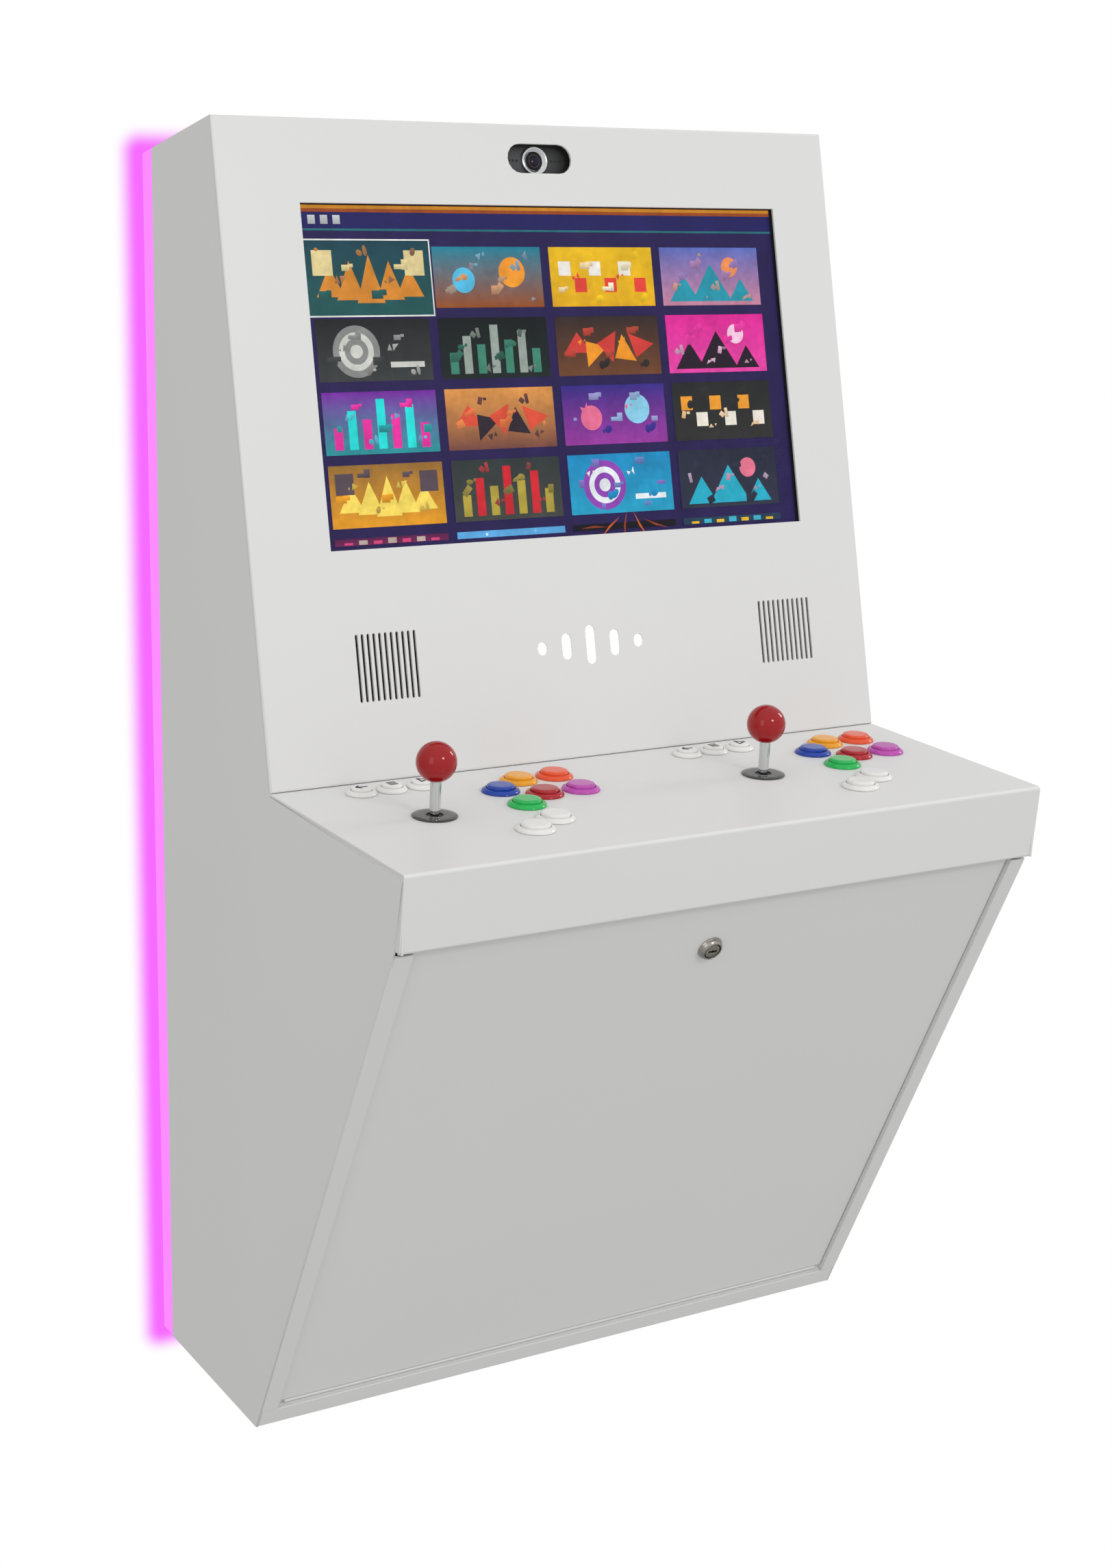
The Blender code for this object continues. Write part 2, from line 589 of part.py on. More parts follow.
def joystick(side, plane, length):
    """Base under the deck, gimbal ring, shaft, ball and the washer that covers the deck's hole."""
    pivot = empty_at("pivot_" + side, (JOYSTICK_X[side], length - JOYSTICK_DOWN, -PIVOT_DEPTH), plane)
    deck = PIVOT_DEPTH  # the deck's top surface, seen from the pivot

    under = deck - FACE_SHEET - GAP
    base = box("joystick_base_" + side, (-0.030, -0.030, -0.022), (0.030, 0.030, under), black_plastic(), pivot)
    flange, well = bmesh.new(), bmesh.new()
    add_box(flange, (-0.048, -0.034, under - SHEET), (0.048, 0.034, under))
    add_box(well, (-0.022, -0.022, -0.05), (0.022, 0.022, 0.02))
    join(base, side + "_base_flange", flange, pivot)
    cut(base, side + "_base_well", well, pivot)

    ring = [(0.0125, -0.003), (0.018, -0.003), (0.018, 0.003), (0.0125, 0.003)]
    gimbal = turned("joystick_gimbal_" + side, ring, zinc(), pivot)
    pins = bmesh.new()
    for start in (-0.0213, 0.0165):
        turn = Matrix.Translation((start, 0, 0)) @ Matrix.Rotation(math.radians(90), 4, "Y")
        add_turned(pins, [(0, 0), (0.0022, 0), (0.0022, 0.0048), (0, 0.0048)], 12, turn)
    join(gimbal, side + "_gimbal_pins", pins, pivot)

    profile = [
        (0, -0.022), (0.0065, -0.022), (0.0065, -0.014), (SHAFT_RADIUS, -0.013),
        (SHAFT_RADIUS, deck + 0.0030), (SLEEVE_RADIUS, deck + 0.0032), (SLEEVE_RADIUS, deck + 0.0293),
        (SHAFT_RADIUS, deck + 0.0295), (SHAFT_RADIUS, deck + 0.0410), (0, deck + 0.0410),
    ]
    shaft = turned("joystick_shaft_" + side, profile, chrome(), pivot)
    cross = bmesh.new()
    turn = Matrix.Translation((0, 0.0122, 0)) @ Matrix.Rotation(math.radians(90), 4, "X")
    add_turned(cross, [(0, 0), (0.002, 0), (0.002, 0.0244), (0, 0.0244)], 12, turn)
    join(shaft, side + "_shaft_cross_pin", cross, pivot)

    bore = SHAFT_RADIUS + GAP
    start = -math.degrees(math.acos(bore / BALL_RADIUS))
    outside = arc((0, deck + BALL_HEIGHT), BALL_RADIUS, start, 90, 11)
    outside[-1] = (0, outside[-1][1])
    hollow = [(0, deck + 0.0415), (bore, deck + 0.0415)]
    red = material("ball_red", (0.42, 0.02, 0.025), 0.15)
    turned("joystick_ball_" + side, outside + hollow, red, pivot)

    outer = WASHER_RADIUS
    disc = [(WASHER_HOLE, GAP), (outer, GAP), (outer, 0.0011), (outer - 0.0006, 0.0016), (WASHER_HOLE, 0.0016)]
    washer = turned("dust_washer_" + side, disc, black_plastic(), plane)
    washer.location = (JOYSTICK_X[side], length - JOYSTICK_DOWN, 0)


# ---- service door and its lock ------------------------------------------------------------
def door_hinge(plane):
    """The pin along the door's lower edge and the leaf that holds it, both on the cabinet."""
    half = WIDTH / 2 - FRAME_SIDE - 0.008
    level = -DOOR_RECESS - SHEET / 2
    turn = Matrix.Translation((-half, HINGE_UP, level)) @ Matrix.Rotation(math.radians(90), 4, "Y")
    mesh_data = bmesh.new()
    add_turned(mesh_data, [(0, 0), (HINGE_PIN, 0), (HINGE_PIN, 2 * half), (0, 2 * half)], 16, turn)
    hinge = finish("door_hinge", mesh_data, zinc(), plane, smooth=True)
    leaf = bmesh.new()
    add_box(leaf, (-half + 0.004, 0.006, level - 0.0027), (half - 0.004, HINGE_UP, level - 0.0008))
    join(hinge, "hinge_leaf", leaf, plane)


def service_door(axis, height):
    """A shallow tray of folded sheet, seen from its hinge axis."""
    half = WIDTH / 2 - FRAME_SIDE - CLEAR
    low, high = DOOR_START - HINGE_UP, height - HINGE_UP
    face = SHEET / 2
    door = box("service_door", (-half, low, face - DOOR_FLANGE), (half, high, face), white_paint(), axis)
    hollow, hole = bmesh.new(), bmesh.new()
    wall = SHEET
    add_box(hollow, (-half + wall, low + wall, face - 0.05), (half - wall, high - wall, face - SHEET))
    place = Matrix.Translation((LOCK_X, LOCK_UP - HINGE_UP, 0))
    radius = LOCK_BODY + GAP
    add_turned(hole, [(0, -0.02), (radius, -0.02), (radius, 0.02), (0, 0.02)], ROUND, place)
    cut(door, "door_hollow", hollow, axis)
    cut(door, "door_lock_hole", hole, axis)


def cam_lock(axis):
    """Barrel in the door, turning plug, and the cam that swings up behind the deck's hem."""
    centre = empty_at("lock_axis", (LOCK_X, LOCK_UP - HINGE_UP, SHEET / 2), axis)
    bore = LOCK_PLUG + GAP
    barrel = [
        (bore, -LOCK_DEPTH), (LOCK_BODY, -LOCK_DEPTH), (LOCK_BODY, GAP), (LOCK_RING, GAP),
        (LOCK_RING, 0.0010), (LOCK_RING - 0.0010, 0.0030), (LOCK_RING - 0.0026, 0.0050), (LOCK_RING - 0.0036, 0.0056),
        (bore, 0.0056),
    ]
    turned("lock_barrel", barrel, chrome(), centre)
    end = LOCK_DEPTH + 0.003
    plug = [(0, -end), (0.0045, -end), (0.0045, -LOCK_DEPTH), (LOCK_PLUG, -LOCK_DEPTH + 0.001), (LOCK_PLUG, 0.0052), (0, 0.0052)]
    key_plug = turned("lock_plug", plug, zinc(), centre)
    keyway = bmesh.new()
    add_box(keyway, (-0.0040, -0.0006, -0.006), (0.0040, 0.0006, 0.01))
    cut(key_plug, "keyway", keyway, centre)
    cam = -end - GAP
    box("lock_cam", (-0.009, -0.008, cam - SHEET), (CAM_LENGTH, 0.008, cam), zinc(), centre)


def build():
    for thing in list(bpy.data.objects):
        bpy.data.objects.remove(thing)
    bezel_plane, bezel_length = face_plane("bezel_plane", DECK_REAR, TOP_FRONT)
    deck_plane, deck_length = face_plane("deck_plane", DECK_FRONT, DECK_REAR)
    door_plane, door_length = face_plane("door_plane", FOOT_FRONT, DOOR_TOP)
    bottom_plane, _ = face_plane("bottom_plane", FOOT_REAR, FOOT_FRONT)

    side_panel(-1, "side_panel_left")
    side_panel(1, "side_panel_right")
    box_panels(bottom_plane)
    light_frame()
    hanging()
    front_bezel(bezel_plane, bezel_length)
    screen(bezel_plane, bezel_length)
    webcam(bezel_plane, bezel_length)
    speakers(bezel_plane, bezel_length)
    emblem_lens(bezel_plane, bezel_length)
    electronics()
    power_inlet(bottom_plane)

    control_deck(deck_plane, deck_length, door_plane)
    for side in JOYSTICK_X:
        joystick(side, deck_plane, deck_length)
        button_housings(side, deck_plane, deck_length)
        button_caps(side, deck_plane, deck_length)

    door_hinge(door_plane)
    hinge_axis = empty_at("hinge_axis", (0, HINGE_UP, -DOOR_RECESS - SHEET / 2), door_plane)
    service_door(hinge_axis, door_length + 0.0005)
    cam_lock(hinge_axis)


build()
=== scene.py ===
"""Looks of a wall-hung arcade cabinet, built round its packed parts."""

import json
import math

import bmesh
import bpy
from mathutils import Matrix, Vector


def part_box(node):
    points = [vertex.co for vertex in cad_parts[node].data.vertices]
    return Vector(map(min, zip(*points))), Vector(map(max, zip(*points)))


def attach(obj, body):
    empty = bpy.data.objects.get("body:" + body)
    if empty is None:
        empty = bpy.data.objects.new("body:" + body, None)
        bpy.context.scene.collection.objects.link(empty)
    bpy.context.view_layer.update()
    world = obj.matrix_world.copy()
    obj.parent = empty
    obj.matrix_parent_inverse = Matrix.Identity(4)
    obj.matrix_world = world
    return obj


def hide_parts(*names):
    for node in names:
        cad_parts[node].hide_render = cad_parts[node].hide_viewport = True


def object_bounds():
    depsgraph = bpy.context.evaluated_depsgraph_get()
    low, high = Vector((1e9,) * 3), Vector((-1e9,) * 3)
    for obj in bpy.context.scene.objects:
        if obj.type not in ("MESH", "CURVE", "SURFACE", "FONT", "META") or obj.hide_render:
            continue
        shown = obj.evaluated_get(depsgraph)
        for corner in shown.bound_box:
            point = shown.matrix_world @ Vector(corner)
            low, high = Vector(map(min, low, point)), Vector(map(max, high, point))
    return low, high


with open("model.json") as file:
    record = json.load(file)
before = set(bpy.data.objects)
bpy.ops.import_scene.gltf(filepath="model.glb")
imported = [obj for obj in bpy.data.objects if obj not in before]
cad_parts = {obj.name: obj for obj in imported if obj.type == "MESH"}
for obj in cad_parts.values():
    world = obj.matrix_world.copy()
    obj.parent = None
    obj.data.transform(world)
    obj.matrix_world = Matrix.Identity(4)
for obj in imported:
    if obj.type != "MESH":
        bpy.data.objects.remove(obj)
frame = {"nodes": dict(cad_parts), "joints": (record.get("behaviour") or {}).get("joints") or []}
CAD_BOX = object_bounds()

bl_info = {
    "name": "Wall arcade cabinet",
    "version": (1, 0, 0),
    "blender": (4, 5, 0),
    "location": "3D View > Sidebar > Cabinet",
    "description": "Builds the painted case, controls, display and stage of a wall-hung arcade cabinet",
    "category": "Object",
}

HALF_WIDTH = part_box("front_bezel")[1].x
SIDES = ("left", "right")
WHITE_BUTTONS = ("back", "menu", "start", "white_upper", "white_lower")
COLOURED_BUTTONS = ("blue", "yellow", "orange", "green", "red", "magenta")
SMALL_BUTTONS = ("back", "menu", "start")
JOINTS = {joint["name"]: joint for joint in frame["joints"]}


# ---- settings that a user would change ----------------------------------------------------
def colour_setting(name, description, default):
    return bpy.props.FloatVectorProperty(
        name=name, description=description, subtype="COLOR", size=3, min=0, max=1, default=default
    )


def length_setting(name, description, default):
    return bpy.props.FloatProperty(
        name=name, description=description, default=default, min=0, unit="LENGTH", subtype="DISTANCE", precision=5
    )


def light_setting(name, description, default):
    return bpy.props.FloatProperty(name=name, description=description, default=default, min=0)


def share_setting(name, description, default):
    return bpy.props.FloatProperty(
        name=name, description=description, default=default, min=0, max=1, subtype="FACTOR"
    )


class CabinetSheetSettings(bpy.types.PropertyGroup):
    """The painted sheet metal."""

    paint: colour_setting("Paint", "Powder coat on the case", (0.735, 0.735, 0.725))
    gloss: share_setting("Paint roughness", "Higher is duller", 0.42)
    corner: length_setting("Face corner", "Radius where the bezel turns into the sides", 0.0023)
    fold: length_setting("Fold", "Radius of the folds round the door", 0.0018)
    edge: length_setting("Cut edge", "Rounding of every other edge", 0.0004)


class CabinetControlSettings(bpy.types.PropertyGroup):
    """Joysticks and buttons."""

    ball: colour_setting("Ball", "Joystick ball", (0.34, 0.003, 0.006))
    white: colour_setting("White buttons", "Plastic of the white buttons", (0.80, 0.79, 0.77))
    blue: colour_setting("Blue button", "Plastic of the blue buttons", (0.004, 0.045, 0.36))
    yellow: colour_setting("Yellow button", "Plastic of the yellow buttons", (0.86, 0.36, 0.010))
    orange: colour_setting("Orange button", "Plastic of the orange buttons", (0.80, 0.085, 0.020))
    green: colour_setting("Green button", "Plastic of the green buttons", (0.008, 0.46, 0.085))
    red: colour_setting("Red button", "Plastic of the red buttons", (0.42, 0.006, 0.014))
    magenta: colour_setting("Magenta button", "Plastic of the magenta buttons", (0.50, 0.065, 0.42))
    large_rim: length_setting("Large rim", "Outer radius of a large button's rim", 0.0172)
    small_rim: length_setting("Small rim", "Outer radius of a small button's rim", 0.0139)


class CabinetDisplaySettings(bpy.types.PropertyGroup):
    """The picture on the monitor."""

    brightness: bpy.props.FloatProperty(
        name="Brightness", description="How strongly the picture glows", default=1.0, min=0
    )
    background: colour_setting("Background", "Colour between the tiles", (0.022, 0.014, 0.085))
    margin: length_setting("Glass margin", "How far the glass reaches behind the bezel", 0.012)


class CabinetLightSettings(bpy.types.PropertyGroup):
    """The light round the back, the halo painted on the wall around it, and the lit emblem."""

    frame: colour_setting("Light frame", "Colour of the diffuser seen from the side", (0.92, 0.245, 1.0))
    # halo, solid and fade shape the painted halo: magenta glow colour put into the wall round the light frame, standing
    # in for the light the frame throws there
    halo: colour_setting("Halo", "Colour thrown on the wall", (0.93, 0.150, 1.0))
    solid: length_setting("Halo width", "Band of full colour on the wall", 0.003)
    fade: length_setting("Halo fade", "Distance over which the colour fades", 0.028)
    emblem: share_setting("Emblem", "Glow of the pane behind the emblem", 1.0)


class CabinetStageSettings(bpy.types.PropertyGroup):
    """Wall, floor, lamps and camera."""

    floor_drop: length_setting("Floor", "Floor below the cabinet's foot", 0.42)
    ambient: light_setting("Ambient", "Light from all round", 0.63)
    overhead: light_setting("Overhead", "How much brighter the room is above than below", 0.27)
    ahead: light_setting("Ahead", "How much brighter the room is in front than behind", 0.17)
    key: light_setting("Key lamp", "Power in watts of the lamp in front", 14.0)
    edge: light_setting("Edge lamp", "Power in watts of the lamp on the right", 11.0)
    fill: light_setting("Fill lamp", "Power in watts of the lamp on the left", 6.0)


GROUPS = {
    "cabinet_sheet": CabinetSheetSettings,
    "cabinet_controls": CabinetControlSettings,
    "cabinet_display": CabinetDisplaySettings,
    "cabinet_light": CabinetLightSettings,
    "cabinet_stage": CabinetStageSettings,
}


def setting(group):
    return getattr(bpy.context.scene, group)


# ---- where things are ---------------------------------------------------------------------
def face_frame(node, outward):
    """A frame on a CAD node's big flat face: X along the width, Y up the face, Z out of it."""
    normal, points = Vector(), []
    mesh = frame["nodes"][node].data
    for face in mesh.polygons:
        if face.normal.dot(Vector(outward).normalized()) > 0.995:
            normal += face.normal * face.area
            points += [mesh.vertices[index].co for index in face.vertices]
    normal.normalize()
    out_at = max(point.dot(normal) for point in points)
    up = normal.cross((1, 0, 0))
    low_at = min(point.dot(up) for point in points)
    origin = normal * out_at + up * low_at
    return Matrix(((1, up.x, normal.x, 0), (0, up.y, normal.y, origin.y), (0, up.z, normal.z, origin.z),
                   (0, 0, 0, 1)))


BEZEL = face_frame("front_bezel", (0, -0.983, 0.186))
DECK = face_frame("control_deck", [-value for value in JOINTS["press_left_blue"]["axis"]])
DOOR = face_frame("service_door", JOINTS["lock_turn"]["axis"])
WORLD = Matrix.Identity(4)


def spun(degrees, axis):
    return Matrix.Rotation(math.radians(degrees), 4, axis)


def over(node, plane):
    """A place on a plane, over the middle of a CAD node."""
    low, high = span(node, plane)
    return plane @ Matrix.Translation(((low.x + high.x) / 2, (low.y + high.y) / 2, 0))


def span(node, plane=WORLD):
    """A CAD node's lowest and highest corner in a plane's own axes."""
    turn = plane.inverted()
    points = [turn @ vert.co for vert in frame["nodes"][node].data.vertices]
    low = Vector(min(point[axis] for point in points) for axis in range(3))
    high = Vector(max(point[axis] for point in points) for axis in range(3))
    return low, high


# ---- modelling steps ----------------------------------------------------------------------
def clear_selection():
    if bpy.context.object and bpy.context.object.mode != "OBJECT":
        bpy.ops.object.mode_set(mode="OBJECT")
    bpy.ops.object.select_all(action="DESELECT")


def only(piece):
    clear_selection()
    piece.select_set(True)
    bpy.context.view_layer.objects.active = piece


def edit(piece, kind="FACE"):
    """Opens edit mode with nothing selected."""
    only(piece)
    bpy.ops.object.mode_set(mode="EDIT")
    bpy.ops.mesh.select_mode(type=kind)
    bpy.ops.mesh.select_all(action="DESELECT")


def pick(piece, kind, test):
    """Selects the faces, edges or verts that pass a test, and says how many did."""
    shape = bmesh.from_edit_mesh(piece.data)
    shape.normal_update()
    chosen = [item for item in getattr(shape, kind) if test(item)]
    for item in chosen:
        item.select_set(True)
    bmesh.update_edit_mesh(piece.data)
    return len(chosen)


def done():
    bpy.ops.object.mode_set(mode="OBJECT")


def tidy_mesh(piece):
    """Merges doubles and turns every face outwards."""
    edit(piece)
    bpy.ops.mesh.select_all(action="SELECT")
    bpy.ops.mesh.remove_doubles(threshold=0.000002)
    bpy.ops.mesh.normals_make_consistent(inside=False)
    done()


def apply_place(piece):
    only(piece)
    bpy.ops.object.transform_apply(location=True, rotation=True, scale=True)


def soften(piece, width, segments=2, angle=35):
    """Rounds every edge sharper than the angle."""
    only(piece)
    bevel = piece.modifiers.new("soft_edges", "BEVEL")
    bevel.width, bevel.segments, bevel.limit_method = width, segments, "ANGLE"
    bevel.angle_limit = math.radians(angle)
    bpy.ops.object.modifier_apply(modifier=bevel.name)


def smooth(piece, angle=40, weighted=False):
    only(piece)
    bpy.ops.object.shade_smooth_by_angle(angle=math.radians(angle))
    if weighted:
        level = piece.modifiers.new("level_faces", "WEIGHTED_NORMAL")
        level.keep_sharp = True
        bpy.ops.object.modifier_apply(modifier=level.name)


def carve(piece, cutter):
    """Cuts one mesh out of another and removes the cutter."""
    only(piece)
    cutting = piece.modifiers.new("cut", "BOOLEAN")
    cutting.operation, cutting.object, cutting.solver, cutting.use_self = "DIFFERENCE", cutter, "EXACT", True
    bpy.ops.object.modifier_apply(modifier=cutting.name)
    if not piece.data.polygons:
        raise RuntimeError("the cut left nothing of " + piece.name)
    bpy.data.objects.remove(cutter)


def unite(pieces):
    """Joins several meshes into the first one's object."""
    clear_selection()
    for piece in pieces:
        piece.select_set(True)
    bpy.context.view_layer.objects.active = pieces[0]
    bpy.ops.object.join()
    return pieces[0]


def turned(profile, sides=48, hollow=False):
    """Raises a turned shape ring by ring through (radius, height) points. A hollow one ends where it began."""
    clear_selection()
    radius, height = profile[0]
    filled = "NOTHING" if hollow else "NGON"
    bpy.ops.mesh.primitive_circle_add(vertices=sides, radius=radius, fill_type=filled, location=(0, 0, height))
    piece = bpy.context.object
    apply_place(piece)
    edit(piece, "EDGE" if hollow else "FACE")
    bpy.ops.mesh.select_all(action="SELECT")
    for (before, low), (after, high) in zip(profile, profile[1:]):
        bpy.ops.mesh.extrude_region_move(TRANSFORM_OT_translate={"value": (0, 0, high - low)})
        if after == 0:
            bpy.ops.mesh.merge(type="CENTER")
            break
        grow = after / before
        bpy.ops.transform.resize(value=(grow, grow, 1), center_override=(0, 0, high))
    done()
    tidy_mesh(piece)
    return piece


def block(low, high, rounding=0.0, segments=2):
    """A box between two corners with all its edges rounded."""
    clear_selection()
    low, high = Vector(low), Vector(high)
    bpy.ops.mesh.primitive_cube_add(size=1, location=(low + high) / 2)
    piece = bpy.context.object
    piece.scale = high - low
    apply_place(piece)
    if rounding:
        edit(piece, "EDGE")
        bpy.ops.mesh.select_all(action="SELECT")
        bpy.ops.mesh.bevel(offset=rounding, segments=segments, affect="EDGES")
        done()
    return piece


def pill(length, width, low, high, rounding=0.0):
    """A plate with round ends."""
    piece = block((-length / 2, -width / 2, low), (length / 2, width / 2, high))
    edit(piece, "EDGE")
    pick(piece, "edges", lambda edge: abs(edge.verts[0].co.z - edge.verts[1].co.z) > (high - low) / 2)
    bpy.ops.mesh.bevel(offset=width * 0.4999, segments=14, affect="EDGES")
    done()
    if rounding:
        soften(piece, rounding, 2, 50)
    return piece


def twin(piece, name):
    """A copy with a mesh of its own."""
    made = piece.copy()
    made.data = piece.data.copy()
    made.name = made.data.name = name
    bpy.context.scene.collection.objects.link(made)
    return made


def moved(piece, place):
    """Moves a shape's mesh, leaving its object at the origin."""
    piece.matrix_world = place @ piece.matrix_world
    apply_place(piece)
    return piece


def settle(piece, name, body, look, place=WORLD, stands_for=()):
    """Puts a finished shape in its place, with its finish, on the body that it moves with."""
    moved(piece, place)
    piece.name = piece.data.name = name
    piece.data.materials.clear()
    piece.data.materials.append(look)
    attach(piece, body)
    if stands_for:
        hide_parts(*stands_for)
    return piece


def sheet_copy(node):
    """A CAD sheet's shape with its triangles merged back into whole faces, ready to have its edges rounded."""
    source = frame["nodes"][node]
    mesh = source.data.copy()
    piece = bpy.data.objects.new(node + "_skin", mesh)
    bpy.context.scene.collection.objects.link(piece)
    edit(piece)
    bpy.ops.mesh.select_all(action="SELECT")
    bpy.ops.mesh.remove_doubles(threshold=0.00001)
    bpy.ops.mesh.dissolve_limited(angle_limit=math.radians(0.5))
    done()
    return piece


def round_edges(piece, width, segments, test):
    """Rounds the edges that pass a test."""
    edit(piece, "EDGE")
    if pick(piece, "edges", test):
        bpy.ops.mesh.bevel(offset=width, segments=segments, affect="EDGES")
    done()


def paint_node(node, look):
    """Gives a CAD node its finish."""
    mesh = frame["nodes"][node].data
    mesh.materials.clear()
    mesh.materials.append(look)


# ---- finishes -----------------------------------------------------------------------------
def new_group(name, inputs, outputs):
    """An empty shader group with named sockets."""
    group = bpy.data.node_groups.new(name, "ShaderNodeTree")
    for title, kind, value in inputs:
        socket = group.interface.new_socket(name=title, in_out="INPUT", socket_type=kind)
        socket.default_value = value
    for title, kind in outputs:
        group.interface.new_socket(name=title, in_out="OUTPUT", socket_type=kind)
    return group, group.nodes.new("NodeGroupInput"), group.nodes.new("NodeGroupOutput")


def add_node(tree, kind, settings=None, values=None):
    node = tree.nodes.new(kind)
    for key, value in (settings or {}).items():
        setattr(node, key, value)
    for key, value in (values or {}).items():
        node.inputs[key].default_value = value
    return node


def wire(source, out, target, into):
    """Joins one node's output to another's input."""
    source.id_data.links.new(source.outputs[out], target.inputs[into])


def shade_and_gloss(group, given, result, tone, drift):
    """Scales a group's colour by the tone, and moves its roughness by the drift."""
    shade = add_node(group, "ShaderNodeVectorMath", {"operation": "SCALE"})
    wire(given, "Color", shade, 0)
    wire(tone, 0, shade, "Scale")
    wire(shade, 0, result, "Color")
    gloss = add_node(group, "ShaderNodeMath", {"operation": "MULTIPLY_ADD", "use_clamp": True})
    wire(drift, 0, gloss, 0)
    wire(given, "Spread", gloss, 1)
    wire(given, "Roughness", gloss, 2)
    wire(gloss, 0, result, "Roughness")


def surface_group():
    """Slow drifts of tone and gloss, and a fine grain, over the whole of a surface."""
    found = bpy.data.node_groups.get("surface_grain")
    if found:
        return found
    group, given, result = new_group(
        "surface_grain",
        [
            ("Color", "NodeSocketColor", (0.5, 0.5, 0.5, 1)), ("Tone", "NodeSocketFloat", 0.03),
            ("Patch Scale", "NodeSocketFloat", 8.0), ("Grain Scale", "NodeSocketFloat", 900.0),
            ("Roughness", "NodeSocketFloat", 0.4), ("Spread", "NodeSocketFloat", 0.06),
        ],
        [("Color", "NodeSocketColor"), ("Roughness", "NodeSocketFloat"), ("Height", "NodeSocketFloat")],
    )
    where = add_node(group, "ShaderNodeTexCoord")
    patches = add_node(group, "ShaderNodeTexNoise", values={"Detail": 4.0, "Roughness": 0.55})
    grain = add_node(group, "ShaderNodeTexNoise", values={"Detail": 2.0, "Roughness": 0.5})
    for noise, scale in ((patches, "Patch Scale"), (grain, "Grain Scale")):
        wire(where, "Object", noise, "Vector")
        wire(given, scale, noise, "Scale")
    drift = add_node(group, "ShaderNodeMath", {"operation": "SUBTRACT"}, {1: 0.5})
    wire(patches, "Fac", drift, 0)
    tone = add_node(group, "ShaderNodeMath", {"operation": "MULTIPLY_ADD"}, {2: 1.0})
    wire(drift, 0, tone, 0)
    wire(given, "Tone", tone, 1)
    shade_and_gloss(group, given, result, tone, drift)
    wire(grain, "Fac", result, "Height")
    return group


def brushed_group():
    """Fine parallel lines, as left by a brush or a lathe."""
    found = bpy.data.node_groups.get("brushed_lines")
    if found:
        return found
    group, given, result = new_group(
        "brushed_lines",
        [("Color", "NodeSocketColor", (0.6, 0.6, 0.6, 1)), ("Line Scale", "NodeSocketFloat", 60.0),
         ("Roughness", "NodeSocketFloat", 0.3), ("Spread", "NodeSocketFloat", 0.15)],
        [("Color", "NodeSocketColor"), ("Roughness", "NodeSocketFloat"), ("Height", "NodeSocketFloat")],
    )
    where = add_node(group, "ShaderNodeTexCoord")
    stretch = add_node(group, "ShaderNodeMapping", values={"Scale": (0.6, 30.0, 30.0)})
    lines = add_node(group, "ShaderNodeTexNoise", values={"Detail": 3.0})
    wire(where, "Object", stretch, "Vector")
    wire(stretch, 0, lines, "Vector")
    wire(given, "Line Scale", lines, "Scale")
    tone = add_node(group, "ShaderNodeMath", {"operation": "MULTIPLY_ADD"}, {1: 0.25, 2: 0.875})
    wire(lines, "Fac", tone, 0)
    shade_and_gloss(group, given, result, tone, lines)
    wire(lines, "Fac", result, "Height")
    return group


def finish_of(name, group, values, depth, plain):
    """A material: one pattern group into a Principled shader, and the shader's own plain values."""
    look = bpy.data.materials.get(name + "_finish")
    if look:
        return look
    look = bpy.data.materials.new(name + "_finish")
    look.use_nodes = True
    tree = look.node_tree
    shader = tree.nodes["Principled BSDF"]
    pattern = add_node(tree, "ShaderNodeGroup", {"node_tree": group}, values)
    bump = add_node(tree, "ShaderNodeBump", values={"Distance": depth, "Strength": 1.0})
    wire(pattern, "Color", shader, "Base Color")
    wire(pattern, "Roughness", shader, "Roughness")
    wire(pattern, "Height", bump, "Height")
    wire(bump, "Normal", shader, "Normal")
    for socket, value in plain.items():
        shader.inputs[socket].default_value = value
    return look


def coated(name, colour, roughness, tone=0.03, patch=8.0, grain=900.0, spread=0.06, depth=0.00001, **plain):
    values = {"Color": (*colour, 1), "Tone": tone, "Patch Scale": patch, "Grain Scale": grain,
              "Roughness": roughness, "Spread": spread}
    return finish_of(name, surface_group(), values, depth, plain)


def metal(name, colour, roughness, lines=60.0, spread=0.15, depth=0.000004):
    values = {"Color": (*colour, 1), "Line Scale": lines, "Roughness": roughness, "Spread": spread}
    return finish_of(name, brushed_group(), values, depth, {"Metallic": 1.0})


def white_paint():
    sheet = setting("cabinet_sheet")
    return coated("powder_coat", sheet.paint, sheet.gloss, tone=0.025, patch=5.0, grain=1400.0, depth=0.000012)


def zinc_plate():
    return metal("zinc_plate", (0.56, 0.57, 0.59), 0.24, 40.0)


def bright_chrome():
    return metal("bright_chrome", (0.62, 0.63, 0.64), 0.04, 90.0, spread=0.10, depth=0.000001)


def satin_nickel():
    return metal("satin_nickel", (0.40, 0.38, 0.34), 0.13, 120.0, spread=0.14, depth=0.000003)


def black_plastic():
    return coated("black_plastic", (0.014, 0.014, 0.015), 0.42, tone=0.30, grain=2200.0, depth=0.00002)


def gloss_black():
    return coated("gloss_black", (0.006, 0.006, 0.007), 0.12, tone=0.25, spread=0.12, grain=700.0, depth=0.000002,
                  **{"Specular IOR Level": 0.25})


def moulded(name, colour):
    return coated("moulded_" + name, colour, 0.08, tone=0.05, patch=60.0, grain=500.0, spread=0.04, depth=0.000001,
                  **{"Specular IOR Level": 0.40, "Coat Weight": 0.15, "Coat Roughness": 0.03})


